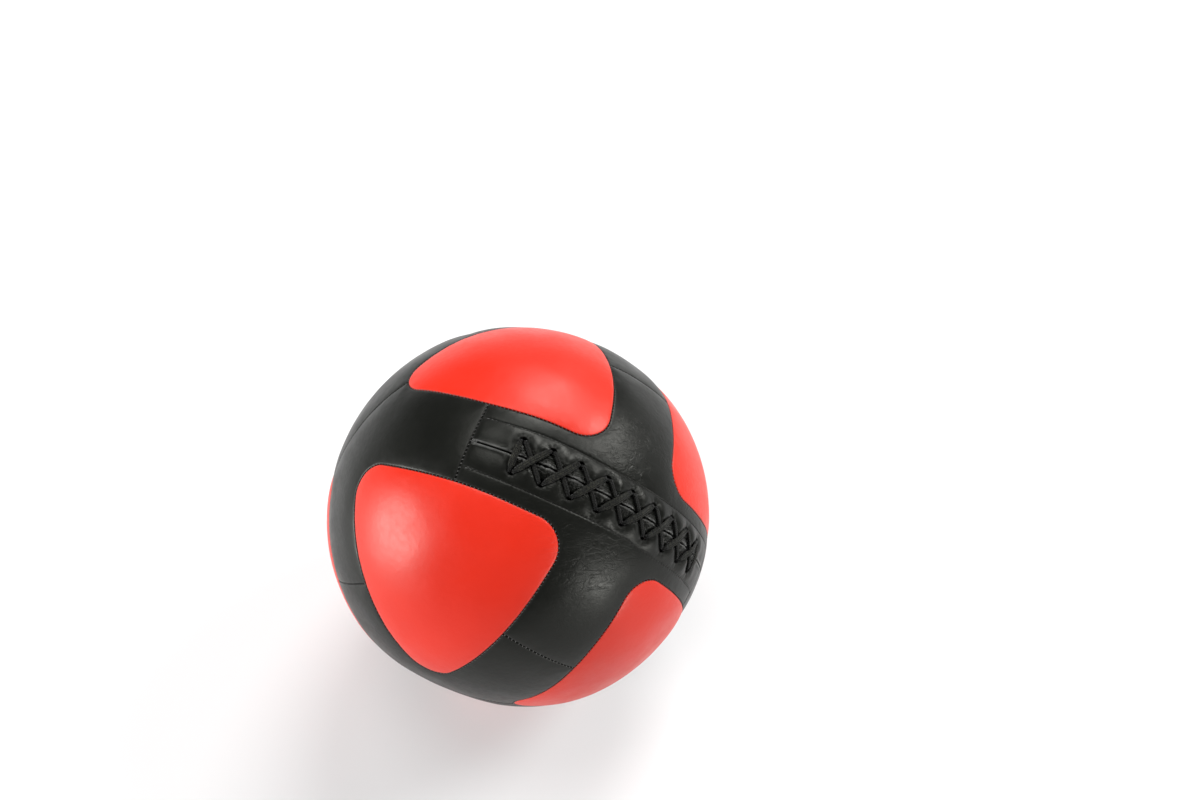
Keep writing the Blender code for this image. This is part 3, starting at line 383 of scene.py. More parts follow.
def make_tree(points):
    tree = kdtree.KDTree(len(points))
    for k, point in enumerate(points):
        tree.insert(point, k)
    tree.balance()
    return tree


def nearest(points, tree):
    """The number of a tree's nearest point to each of some points, and how far it is."""
    found = np.array([tree.find(point)[1:] for point in points]).reshape(-1, 2)
    return found[:, 0].astype(int), found[:, 1]


def drift_bells(directions):
    """How near directions are to each place of the sewing's drift."""
    apart = norm(directions[..., None, :] - DRIFT_PLACES, axis=-1) * RADIUS
    return bell(apart, DRIFT_REACH)


# The weights of these bells that give the drift's shifts at its places
DRIFT_PLACES = unit(SEWING_DRIFT[:, :3])
DRIFT_WEIGHTS = solve(
    drift_bells(DRIFT_PLACES) + DRIFT_EASE * np.eye(len(DRIFT_PLACES)), SEWING_DRIFT[:, 3:] / MM)


def to_world(points):
    """Points of the cover's frame in the world, moved with the sewing's drift."""
    radii = norm(points, axis=-1, keepdims=True)
    directions = points / radii
    moved = directions * RADIUS + drift_bells(directions) @ DRIFT_WEIGHTS
    return unit(moved) * radii @ TURN.T + CENTRE


def new_mesh(name, places, faces, folds=()):
    """A smooth mesh in the world from points and faces in the cover's frame.

    folds says how sharply the leather is folded at the first of the points, or how
    far the lace is gathered, which the materials turn into painted highlights and
    painted shade.
    """
    mesh = bpy.data.meshes.new(name)
    faces = [tuple(map(int, face)) for face in faces]
    mesh.from_pydata(to_world(np.asarray(places)).tolist(), [], faces)
    build = bmesh.new()
    build.from_mesh(mesh)
    bmesh.ops.recalc_face_normals(build, faces=build.faces)
    build.to_mesh(mesh)
    build.free()
    mesh.shade_smooth()
    if len(folds):
        values = np.zeros(len(mesh.vertices))
        values[:len(folds)] = folds
        mesh.attributes.new(FOLD_MARK, "FLOAT", "POINT").data.foreach_set("value", values)
    return mesh


def add_object(name, data):
    piece = bpy.data.objects.new(name, data)
    bpy.context.scene.collection.objects.link(piece)
    return piece


def add_piece(name, mesh, material, slot, *nodes):
    """Add a piece that rides with the ball and stands for some CAD nodes."""
    piece = add_object(name, mesh)
    mesh.materials.append(material)
    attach(piece, "root")
    if nodes:
        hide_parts(*nodes)
    return piece


# The ball's surface, as distances from its centre along unit directions

def sag(directions):
    """How far the junctions of the bands lie below the full ball."""
    total = np.zeros(len(directions))
    for axis, share in JUNCTIONS.values():
        away = np.arccos(np.clip(directions @ np.array(axis), -1, 1)) * RADIUS
        total += share * bell(away, JUNCTION_SAG_REACH)
    return JUNCTION_SAG * total


def floored(directions, radii, lift=0):
    """Radii cut off at the level floor, or at a height over it."""
    drop = directions @ DOWN
    height = CENTRE_HEIGHT - lift
    floor = np.where(drop > 0.5, height / np.maximum(drop, 0.5), 2 * RADIUS)
    return np.minimum(radii, floor)


def unevenness(directions):
    """Gentle lumps of the filling and finer ripples of the leather."""
    x, y, z = (directions * RADIUS).T
    return LUMP_HEIGHT * lumps(LUMPS, x, y, z) + RIPPLE_HEIGHT * lumps(RIPPLES, x, y, z)


def leather(directions, edge_gap):
    """The face of any panel: its form, its unevenness and its pinched stitches."""
    points = directions * RADIUS
    crown = PANEL_CROWN * np.clip(1 - edge_gap / PANEL_CROWN_REACH, 0, 1) ** 2
    dip = EDGE_DROP * rolled(edge_gap, EDGE_ROLL) + hump(edge_gap, SEAM_SINK) + crown
    radii = RADIUS - sag(directions) - dip + unevenness(directions)
    near = np.flatnonzero(edge_gap < PUCKER_END)
    pucker = lumps(PUCKERS, *points[near].T) * bell(edge_gap[near], PUCKER_REACH)
    radii[near] += PUCKER_HEIGHT * pucker
    near = np.flatnonzero(edge_gap < PINCH_END)
    radii[near] -= hump(nearest(points[near], STITCH_TREE)[1], STITCH_PINCH)
    return radii


def panel_face(directions, edge_gap):
    return floored(directions, leather(directions, edge_gap))


def panel_back(directions, edge_gap):
    return floored(directions, RADIUS - sag(directions) - COVER_DEPTH, LEATHER_WALL)


def layer_face(depth):
    """A radius function for a plain layer at a depth under the full ball."""
    def radius(directions, edge_gap):
        return RADIUS - sag(directions) - depth
    return radius


# Curves of the pattern, as rows of unit directions

def strip_point(along, across):
    """The direction at a distance along the slit and a distance above it."""
    longitude, latitude = np.broadcast_arrays(
        np.asarray(along) / RADIUS, np.asarray(across) / RADIUS)
    flat = np.cos(latitude)
    return np.stack([flat * np.cos(longitude), flat * np.sin(longitude), np.sin(latitude)], -1)


def strip_place(directions):
    """The distances along and above the slit of each direction."""
    along = np.arctan2(directions[:, 1], directions[:, 0]) * RADIUS
    across = np.arcsin(np.clip(directions[:, 2], -1, 1)) * RADIUS
    return along, across


def arc_between(start, end):
    """Directions between two others, without them."""
    length = acos(min(1, float(start @ end))) * RADIUS
    share = np.linspace(0, 1, max(1, round(length / EDGE_STEP)) + 1)[1:-1, None]
    return unit(start * (1 - share) + end * share)


def joined(*paths):
    """A closed loop of paths, with an arc from each one's end to the next."""
    arcs = [arc_between(path[-1], after[0]) for path, after in zip(paths, (*paths[1:], paths[0]))]
    return np.vstack([stretch for pair in zip(paths, arcs) for stretch in pair])


def corner_path(out, up, aside, inset):
    """Half a side, a rounded corner and half a side of one red triangle.

    The corner points to the junction at out, in the octant of out, up and aside.
    The path starts on the side along the band from out to aside.  A positive
    inset draws it inside the triangle, and a negative one outside.
    """
    half_band = HALF_BAND + inset
    radius = CORNER_ANGLE - inset
    rise = sin(HALF_BAND + CORNER_ANGLE)
    level = sqrt(1 - 2 * rise ** 2)
    centre = out * level + (up + aside) * rise
    tangent = atan2(rise, level)
    limit = MID_SEAM if inset >= 0 else MID_SEAM + inset
    parts = round((limit - tangent) * RADIUS / EDGE_STEP)
    side = np.linspace(limit, tangent, parts + 1)[:, None]
    first, last = (
        low * sin(half_band)
        + cos(half_band) * (out * np.cos(side) + ahead * np.sin(side))
        for low, ahead in ((up, aside), (aside, up)))
    ahead = unit(out - centre * (out @ centre))
    across = unit(aside - up)
    start = unit(first[-1] - centre * (first[-1] @ centre))
    swing = atan2(start @ across, start @ ahead)
    arc_parts = 2 * round(swing * CORNER_RADIUS / EDGE_STEP)
    turn = np.linspace(swing, -swing, arc_parts + 1)[:, None]
    ring = ahead * np.cos(turn) + across * np.sin(turn)
    arc = centre * cos(radius) + sin(radius) * ring
    return first[:-1], arc, last[-2::-1]


def red_outline(x, y, z, inset):
    """The rounded triangle in one octant of the ball."""
    axes = np.diag((x, y, z)).astype(float)
    rows = []
    for k in range(3):
        first, arc, last = corner_path(axes[k], axes[k - 2], axes[k - 1], inset)
        rows += [first, arc, last[:-1]]
    return np.vstack(rows)


def elbow_parts(out, up, aside):
    """The four stretches of a black panel that wraps the corner of up and aside."""
    inner = np.vstack(corner_path(out, up, aside, -SEAM_INSET))
    across = unit(up + aside)

    def to_diagonal(first, arc):
        """The half of a neighbour's corner that this panel touches."""
        path = np.vstack([first, arc[:len(arc) // 2 + 1]])
        path[-1] = unit(path[-1] + across * (sin(SEAM_INSET) - path[-1] @ across))
        return path

    first, arc, _ = corner_path(out, -up, aside, -SEAM_INSET)
    below = to_diagonal(first, arc)
    _, arc, last = corner_path(out, up, -aside, -SEAM_INSET)
    beyond = to_diagonal(last[::-1], arc[::-1])
    middle = unit(out + across * tan(SEAM_INSET))
    halves = arc_between(below[-1], middle), arc_between(middle, beyond[-1])
    return inner, beyond, np.vstack([halves[0], middle[None], halves[1]]), below


def elbow_outline(out, up, aside):
    inner, beyond, diagonal, below = elbow_parts(out, up, aside)
    return joined(inner, np.vstack([beyond, diagonal[::-1], below[::-1]]))


def slit_outline(side):
    """The T-shaped black panel above (1) or below (-1) the slit."""
    out, right, up = np.diag((1.0, 1.0, side))
    left_path = np.vstack(corner_path(out, up, -right, -SEAM_INSET))
    right_path = np.vstack(corner_path(out, up, right, -SEAM_INSET))[::-1]
    reach = SLIT_REACH - SEAM_GAP / 2
    parts = round(2 * reach / EDGE_STEP)
    slit = strip_point(np.linspace(reach, -reach, parts + 1), side * SLIT_GAP / 2)
    return joined(left_path, right_path, slit)


def strip_outline(half_length, low, high):
    """A long rectangle beside or across the slit."""
    along = np.linspace(-half_length, half_length, round(2 * half_length / GRID_STEP) + 1)
    across = np.linspace(low, high, round(abs(high - low) / GRID_STEP) + 1)[1:-1]
    return np.vstack([
        strip_point(along, low),
        strip_point(half_length, across),
        strip_point(along[::-1], high),
        strip_point(-half_length, across[::-1]),
    ])


def east_north(centre):
    """Two directions square to a third and to each other."""
    steep = abs(centre[2]) >= abs(centre[0]) + abs(centre[1])
    east = unit(np.cross((1, 0, 0) if steep else (0, 0, 1), centre))
    return east, np.cross(centre, east)


def hole_outlines(side):
    """Rings of directions round the holes above (1) or below (-1) the slit."""
    sides = round(pi * HOLE_DIAMETER / EDGE_STEP)
    turn = np.linspace(0, 2 * pi, sides, endpoint=False)[:, None]
    angle = HOLE_DIAMETER / 2 / RADIUS
    outlines = []
    for along in np.linspace(-LACED_REACH, LACED_REACH, PAIR_COUNT):
        centre = strip_point(along, side * HOLE_ROW_OFFSET)
        east, north = east_north(centre)
        ring = east * np.cos(turn) + north * np.sin(turn)
        outlines.append(centre * cos(angle) + ring * sin(angle))
    return outlines


# Seams, and the stitches in them

def octant_name(x, y, z):
    words = (x, "front", "back"), (z, "upper", "lower"), (y, "right", "left")
    return "_".join(ahead if value > 0 else behind for value, ahead, behind in words)


def elbow_panels():
    """The name and the three axes of each black panel but the two at the slit."""
    for junction, parity in TWIN_PARITY.items():
        out = np.array(JUNCTIONS[junction][0], dtype=float)
        k = int(np.argmax(np.abs(out)))
        up, aside = np.eye(3)[(k + 1) % 3], np.eye(3)[(k + 2) % 3]
        for first in (1, -1):
            second = first * parity * int(out.sum())
            octant = out + first * up + second * aside
            yield junction + "_round_" + octant_name(*octant), out, first * up, second * aside


def seam_lines():
    """Every seam as a row of directions, and whether it closes on itself."""
    lines = [(red_outline(*octant, 0), True) for octant in OCTANTS]
    axes = [np.array(axis, dtype=float) for axis, _ in JUNCTIONS.values()]
    for a, first in enumerate(axes):
        for second in axes[:a]:
            if first @ second == 0:
                middle = unit(first + second) * cos(HALF_BAND)
                beside = np.cross(first, second)
                start, end = (
                    unit(middle + beside * side * sin(HALF_BAND)) for side in (1, -1))
                lines.append((np.vstack([start, arc_between(start, end), end]), False))
    for _, out, up, aside in list(elbow_panels())[::2]:
        diagonal = elbow_parts(out, up, aside)[2]
        across = unit(up + aside)
        lines.append((unit(diagonal - np.outer(diagonal @ across, across)), False))
    return lines


def spaced(line, closed, pitch):
    """Places at an even pitch along a line of directions, with the line's heading."""
    if closed:
        line = np.vstack([line, line[:1]])
    steps = norm(np.diff(line, axis=0), axis=1) * RADIUS
    run = np.concatenate([[0], np.cumsum(steps)])
    count = max(1, round(run[-1] / pitch))
    places = (np.arange(count) + 0.5) * run[-1] / count
    spots, ahead, behind = (
        unit(along_rows(places + shift, run, line)) for shift in (0, EDGE_STEP, -EDGE_STEP))
    return spots, unit(ahead - behind)


def stacked(found):
    """The places and headings of several lines as one row of each."""
    spots, headings = zip(*found)
    return np.vstack(spots), np.vstack(headings)


STITCHES, STITCH_HEADINGS = stacked(spaced(*seam, STITCH_PITCH) for seam in seam_lines())
STITCH_TREE = make_tree(STITCHES * RADIUS)


# The leather beside the slit

def slot_place(pair, row, side):
    """Where a strand passes a hole: its pair, its row and its side of the hole."""
    along = (pair - (PAIR_COUNT - 1) / 2) * LACE_PITCH + side * SLOT_OFFSET
    return along, row * HOLE_ROW_OFFSET


def strand_ends():
    """Both ends, as places beside the slit, of the lace's strands that show.

    First those that lie on top and the bars, and then those tucked below them.
    """
    last = PAIR_COUNT - 1
    above = [((0, 1, -1), (0, -1, -1)), ((last, 1, 1), (last, -1, 1))]
    above += [((pair, -1, 1), (pair + 1, 1, -1)) for pair in range(last)]
    tucked = [((pair, 1, 1), (pair + 1, -1, -1)) for pair in range(last)]
    for strands in (above, tucked):
        yield np.array([[slot_place(*slot) for slot in ends] for ends in strands])


def strand_distance(along, across, ends):
    """Distance from places beside the slit to the nearest of some strands."""
    places = np.stack([along, across], 1)
    least = np.full(len(places), np.inf)
    for start, end in ends:
        run = end - start
        share = np.clip((places - start) @ run / (run @ run), 0, 1)
        gap = norm(places - start - share[:, None] * run, axis=1)
        least = np.minimum(least, gap)
    return least


def laced_share(along, ease=LACE_EASE):
    """How far the slit is laced, from 0 in its sewn ends to 1."""
    past = (np.abs(along) - LACED_REACH - LACED_END) / ease
    return 1 / (1 + np.exp(np.clip(past, -50, 50)))


def hole_share(along):
    """How near a place along the slit is to a pair of holes, from 0 to 1."""
    return np.cos(pi * along / LACE_PITCH) ** 2


def from_hole(along, across):
    """The nearest hole's place along the slit, and places seen from its middle."""
    hole = np.clip(np.round(along / LACE_PITCH) * LACE_PITCH, -LACED_REACH, LACED_REACH)
    return hole, along - hole, across - HOLE_ROW_OFFSET


def lip_crest(along):
    """The distance of a lip's crest from the slit's middle."""
    return mix(SEWN_LIP_RADIUS, LIP_RADIUS, laced_share(along))


def slit_relief(directions):
    """How far the laced strip stands above or below plain leather."""
    along, signed = strip_place(directions)
    side, across = np.where(signed > 0, 1.0, -1.0), np.abs(signed)
    laced, at_holes = laced_share(along), hole_share(along)
    ends = np.clip((SLIT_REACH - np.abs(along)) / LIP_END, 0, 1)
    wander = lumps(WANDER, along, side, across * WANDER_SQUEEZE)

    hole, over, up = from_hole(along, across)
    hole_gap = np.hypot(over, up)
    turns = np.arctan2(over, up) * HOLE_FOLDS
    spokes = np.cos(turns + SPOKE_WANDER * lumps(SPOKES, hole, side, side))
    outward = mix(HOLE_FOLD_LEVEL, 1, up / np.maximum(hole_gap, HOLE_DIAMETER / 4))
    folds = HOLE_FOLD_HEIGHT * spokes * np.clip(outward, 0, 1)
    folds = folds * bell(hole_gap - HOLE_DIAMETER / 2, HOLE_FOLD_REACH)

    rise = np.clip(across / TOPSTITCH_OFFSET, 0, 1)
    puff = PUFF_RISE * np.sin(pi * rise ** PUFF_SKEW)
    puff = puff * (1 - PUFF_PINCH * at_holes) * (1 + PUFF_WANDER * wander)
    puffed = laced_share(along, PUFF_EASE)
    puff = puff * puffed + SEWN_PUFF_RISE * np.sin(pi * rise) * (1 - puffed)

    crest = lip_crest(along)
    lip = mix(SEWN_LIP_RISE, LIP_RISE * mix(LIP_LOW, 1, at_holes), laced)
    lip = lip * bell(np.maximum(across - crest, 0), mix(SEWN_LIP_REACH, LIP_REACH, laced))
    lip = lip * (1 + LIP_WANDER * wander * laced)
    drop = LIP_DROP * crest * rolled(across, crest)

    near = np.flatnonzero((across < CRINKLE_END) & (laced > LACED_LEAST))
    crinkle = np.zeros(len(along))
    warp = WARP_DEPTH * lumps(WARP, along[near], signed[near], side[near])
    bent = (row[near] * squeeze + warp for row, squeeze in zip((along, signed), CRINKLE_SQUEEZE))
    ridges = 1 - 2 * np.abs(lumps(CRINKLES, *bent, side[near]))
    crinkle[near] = CRINKLE_HEIGHT * ridges * bell(across[near], CRINKLE_REACH) * laced[near]
    presses = zip(strand_ends(), PRESSES)
    press = np.max([hump(strand_distance(along, signed, ends), at) for ends, at in presses], axis=0)
    press *= 1 - PRESS_EASE * np.clip(across / HOLE_ROW_OFFSET, 0, 1) ** 2

    past = across - TOPSTITCH_OFFSET
    beat = np.cos(2 * pi * along / TOPSTITCH_PITCH) * bell(past, TOPSTITCH_BEAT_REACH)
    topstitch = hump(past, TOPSTITCH_GROOVE) + hump(past, TOPSTITCH_SINK) - TOPSTITCH_BEAT * beat
    relief = (puff + lip - topstitch) * ends - drop
    return relief + (folds - hump(hole_gap, HOLE_DIMPLE) + crinkle) * laced - press


def slit_face(directions, edge_gap=PANEL_CROWN_REACH):
    """Leather of a laced panel, whose slit edge isn't sewn as its seams are."""
    along, across = np.abs(strip_place(directions))
    to_end = SLIT_REACH - along
    at_slit = (across < TOPSTITCH_OFFSET) & (to_end > 0)
    inner = np.where(to_end < PANEL_CROWN_REACH, to_end, np.maximum(edge_gap, to_end))
    gap = np.where(at_slit, inner, edge_gap)
    return floored(directions, leather(directions, gap) + slit_relief(directions))


def seam_fold(directions, edge_gap):
    """How the leather is folded near its seams: up to 1 outward and to -1 inward.  This paints a
    pale band, partly wear and partly a painted highlight, and painted shade in the seam's bottom.
    """
    outward = SEAM_FOLD * bell(edge_gap - SEAM_FOLD_OFFSET, FOLD_REACH)
    return outward - bell(edge_gap, CREVICE_REACH)


def slit_fold(directions, edge_gap):
    """How it is folded near seams, along the lips and round the holes.  This paints the lips'
    crests and the holes' outer rims paler, partly as wear and partly as painted highlights, and
    puts painted shade in the slit, the holes and the topstitch groove.
    """
    along, signed = strip_place(directions)
    across = np.abs(signed)
    laced = laced_share(along)
    # The lips' crests are painted paler: partly wear, partly painted glints
    wear_and_highlight = (1 - laced) + laced * mix(CREST_WEAR_AND_GLINT_LOW, 1, hole_share(along))
    wear_and_highlight *= CREST_WEAR_AND_GLINT_LEVEL + CREST_WEAR_AND_GLINT_SPREAD * lumps(CREST_WEAR_AND_GLINT, along, signed, 0)
    crest = wear_and_highlight * bell(across - lip_crest(along), FOLD_REACH)
    hole_gap = np.hypot(*from_hole(along, across)[1:]) - HOLE_DIAMETER / 2
    rims = RIM_PAINTED_HIGHLIGHT * bell(hole_gap - FOLD_REACH, FOLD_REACH) * (across > HOLE_ROW_OFFSET)
    # Painted shade in the slit and round the holes
    crevice = bell(across, CREVICE_REACH) + bell(hole_gap, CREVICE_REACH)
    to_end = SLIT_REACH - np.abs(along)
    at_slit = (across < TOPSTITCH_OFFSET - FOLD_ZONE_MARGIN) & (to_end > LIP_END)
    groove = bell(across - TOPSTITCH_OFFSET, TOPSTITCH_GROOVE[1]) * (to_end > 0)
    plain = seam_fold(directions, edge_gap) - GROOVE_PAINTED_SHADE * groove
    return np.where(at_slit, np.maximum(crest, rims) - crevice, plain)


# Layers on the ball: a face and a back over one outline, joined round its edges

def chart_of(centre):
    """Functions to and from a flat chart of the ball round a direction."""
    east, north = east_north(centre)

    def flatten(directions):
        x, y, z = directions @ east, directions @ north, directions @ centre
        away = np.arctan2(np.hypot(x, y), z)
        stretch = away / np.maximum(np.sin(away), np.finfo(float).tiny) * RADIUS
        return np.stack([x * stretch, y * stretch], 1)

    def raise_up(points):
        away = norm(points, axis=1) / RADIUS
        scale = np.sinc(away / pi) / RADIUS
        tilted = points[:, :1] * east + points[:, 1:] * north
        return tilted * scale[:, None] + centre * np.cos(away)[:, None]

    return flatten, raise_up


def three_deep(points):
    """Points as rows of three numbers, the last one 0 if they are flat."""
    return np.pad(points, ((0, 0), (0, 3 - points.shape[1])))


def is_inside(points, loop):
    """Whether each flat point lies inside a closed loop."""
    inside = np.zeros(len(points), dtype=bool)
    order = np.argsort(points[:, 1])
    x, y = points[order].T
    for start, end in zip(loop, np.roll(loop, -1, axis=0)):
        first, last = np.searchsorted(y, sorted((start[1], end[1])))
        if first < last:
            share = (y[first:last] - start[1]) / (end[1] - start[1])
            crossing = start[0] + share * (end[0] - start[0])
            inside[order[first:last]] ^= x[first:last] < crossing
    return inside


def is_between(points, loops):
    """Whether each flat point lies inside the first loop and outside the rest."""
    keep = is_inside(points, loops[0])
    for hole in loops[1:]:
        keep &= ~is_inside(points, hole)
    return keep


def distance_to_loop(points, loop):
    """Distance from each point to the edges beside a closed loop's nearest corner."""
    corners, places = three_deep(loop), three_deep(points)
    number = nearest(places, make_tree(corners))[0]
    start, least = corners[number], np.full(len(places), np.inf)
    for beside in (-1, 1):
        edge = corners[(number + beside) % len(corners)] - start
        share = ((places - start) * edge).sum(axis=1) / (edge * edge).sum(axis=1)
        foot = start + np.clip(share, 0, 1)[:, None] * edge
        least = np.minimum(least, norm(places - foot, axis=1))
    return least


def hexagonal_grid(low, high, step):
    """Rows of points a step apart over a flat box."""
    rows = []
    for index, y in enumerate(np.arange(low[1], high[1], step * sqrt(3) / 2)):
        x = np.arange(low[0] + step / 2 * (index % 2), high[0], step)
        rows.append(np.stack([x, np.full(len(x), y)], 1))
    return np.vstack(rows)


def inset_points(loop, inset):
    """Points a distance inside a loop, beside its own."""
    ahead, behind = np.roll(loop, -1, axis=0) - loop, loop - np.roll(loop, 1, axis=0)
    along = unit(unit(ahead) + unit(behind))
    normal = np.stack([-along[:, 1], along[:, 0]], 1)
    area = loop[:, 0] @ np.roll(loop[:, 1], -1) - loop[:, 1] @ np.roll(loop[:, 0], -1)
    return loop + normal * inset * np.sign(area)


def clear_points(points, loops, room):
    """Those points that lie between loops and clear of them all."""
    points = points[is_between(points, loops)]
    for loop in loops:
        points = points[distance_to_loop(points, loop) > room]
    return points


def loop_edges(loops):
    """The edges of loops as pairs of numbers, with their points numbered in turn."""
    edges, start = [], 0
    for loop in loops:
        count = len(loop)
        edges += [(start + k, start + (k + 1) % count) for k in range(count)]
        start += count
    return edges


def triangulate(points, loops):
    """Triangles between the loops, as rows of three numbers of points."""
    corners = [Vector(point) for point in points]
    made = delaunay_2d_cdt(corners, loop_edges(loops), [], 0, MERGE_DISTANCE)
    origin = [numbers[0] for numbers in made[3]]
    faces = np.array([[origin[k] for k in face] for face in made[2]])
    return faces[is_between(points[faces].mean(axis=1), loops)]


def in_strip(directions, margin):
    """Whether directions lie in the finely divided strip beside the slit."""
    along, across = np.abs(strip_place(directions))
    beside = across < TOPSTITCH_OFFSET + STRIP_MARGIN - margin
    return beside & (along < SLIT_REACH + STRIP_END_MARGIN - margin)


def layer(name, outline, face, back, rear_step, holes=(), rows=(), lines=None, folding=None):
    """A closed layer over an outline on the ball, between two radius functions.

    rows are insets at which the face gets points beside its edges.  lines are
    further directions at which it gets points, in the finely divided strip.
    folding gives how sharply the face is folded.
    """
    flatten, raise_up = chart_of(unit(outline.sum(axis=0)))
    loops = [flatten(loop) for loop in (outline, *holes)]
    low, high = loops[0].min(axis=0), loops[0].max(axis=0)
    taken = rows[-1] if rows else 0

    def grid_of(step, room):
        return clear_points(hexagonal_grid(low, high, step), loops, room)

    points = list(loops)
    for inset in rows:
        beside = [inset_points(loops[0], inset)]
        beside += [inset_points(hole, -inset) for hole in loops[1:]]
        points.append(clear_points(np.vstack(beside), loops, inset * ROW_ROOM))
    grid = grid_of(GRID_STEP, taken + GRID_STEP * GRID_ROOM)
    if lines is not None:
        fine = grid_of(STRIP_GRID_STEP, taken + STRIP_GRID_STEP * STRIP_ROOM)
        coarse = grid[~in_strip(raise_up(grid), GRID_STEP * STRIP_ROOM)]
        grid = np.vstack([coarse, fine[in_strip(raise_up(fine), 0)]])
        lines = clear_points(flatten(lines), loops, taken + GRID_STEP * GRID_ROOM)
        away = nearest(three_deep(grid), make_tree(three_deep(lines)))[1]
        grid = np.vstack([grid[away > STRIP_GRID_STEP * LINE_ROOM], lines])
    front = np.vstack([*points, grid])
    rear = np.vstack([*loops, grid_of(rear_step, rear_step * GRID_ROOM)])
    rim = raise_up(loops[0]) * RADIUS

    def placed(flat, radius):
        directions = raise_up(flat)
        gap = distance_to_loop(directions * RADIUS, rim)
        return directions, gap, directions * radius(directions, gap)[:, None]

    directions, gap, raised = placed(front, face)
    folds = folding(directions, gap) if folding else ()
    places = np.vstack([raised, placed(rear, back)[2]])
    count = len(front)
    faces = [*triangulate(front, loops), *(triangulate(rear, loops)[:, ::-1] + count)]
    faces += [(a, b, b + count, a + count) for a, b in loop_edges(loops)]
    return new_mesh(name, places, faces, folds)


# Materials

class Look:
    """The nodes of a material or world, with short ways to add what looks share."""

    def __init__(self, name, owners=bpy.data.materials):
        self.owner = owners.new(name)
        self.owner.use_nodes = True
        self.tree = self.owner.node_tree
        self.place = self.add("TexCoord").outputs["Object"]

    def give(self, socket, value):
        """Link a socket to an output, or set it to a number or a row of them."""
        if isinstance(value, bpy.types.NodeSocket):
            self.tree.links.new(value, socket)
        elif value is not None:
            socket.default_value = (*value, 1) if socket.type == "RGBA" else value

    def add(self, kind, inputs=None, **settings):
        node = self.tree.nodes.new("ShaderNode" + kind)
        for key, value in settings.items():
            setattr(node, key, value)
        for key, value in (inputs or {}).items():
            self.give(node.inputs[key], value)
        return node

    def fold(self):
        """How sharply leather is folded, or how far the lace is gathered: the mark that paints
        highlights and shade.
        """
        return self.add("Attribute", attribute_name=FOLD_MARK).outputs["Fac"]

    def noise(self, scale, detail, distortion=0, place=None):
        inputs = {"Scale": scale, "Detail": detail, "Distortion": distortion}
        inputs["Vector"] = place or self.place
        return self.add("TexNoise", inputs).outputs["Fac"]

    def cells(self, scale, feature):
        inputs = {"Scale": scale, "Vector": self.place}
        return self.add("TexVoronoi", inputs, feature=feature).outputs["Distance"]

    def math(self, operation, first, *others):
        """An operation on one value, or on it and each of the others in turn."""
        for other in others or (None,):
            node = self.add("Math", {0: first, 1: other}, operation=operation)
            first = node.outputs[0]
        return first

    def vector(self, operation, first, second, output="Value"):
        inputs = {0: first, 1: second}
        return self.add("VectorMath", inputs, operation=operation).outputs[output]

    def span(self, value, low, high, from_low=0.0, from_high=1.0, **settings):
        """A value between two limits brought to lie as far between two others."""
        inputs = {"Value": value, "From Min": from_low, "From Max": from_high}
        inputs.update({"To Min": low, "To Max": high})
        return self.add("MapRange", inputs, **settings).outputs["Result"]

    def blend(self, share, first, second):
        """A mix of two colours."""
        node = self.add("Mix", {"Factor": share}, data_type="RGBA")
        sockets = [socket for socket in node.inputs if socket.type == "RGBA"]
        for socket, colour in zip(sockets, (first, second)):
            self.give(socket, colour)
        return next(socket for socket in node.outputs if socket.type == "RGBA")

    def finish(self, inputs, *bumps):
        """The material, with its shader's inputs and bumps: heights and their depths."""
        normal = None
        for height, depth in bumps:
            bump = {"Strength": 1.0, "Distance": depth, "Height": height, "Normal": normal}
            normal = self.add("Bump", bump).outputs["Normal"]
        shader = self.tree.nodes["Principled BSDF"]
        for key, value in {**inputs, "Normal": normal}.items():
            self.give(shader.inputs[key], value)
        return self.owner


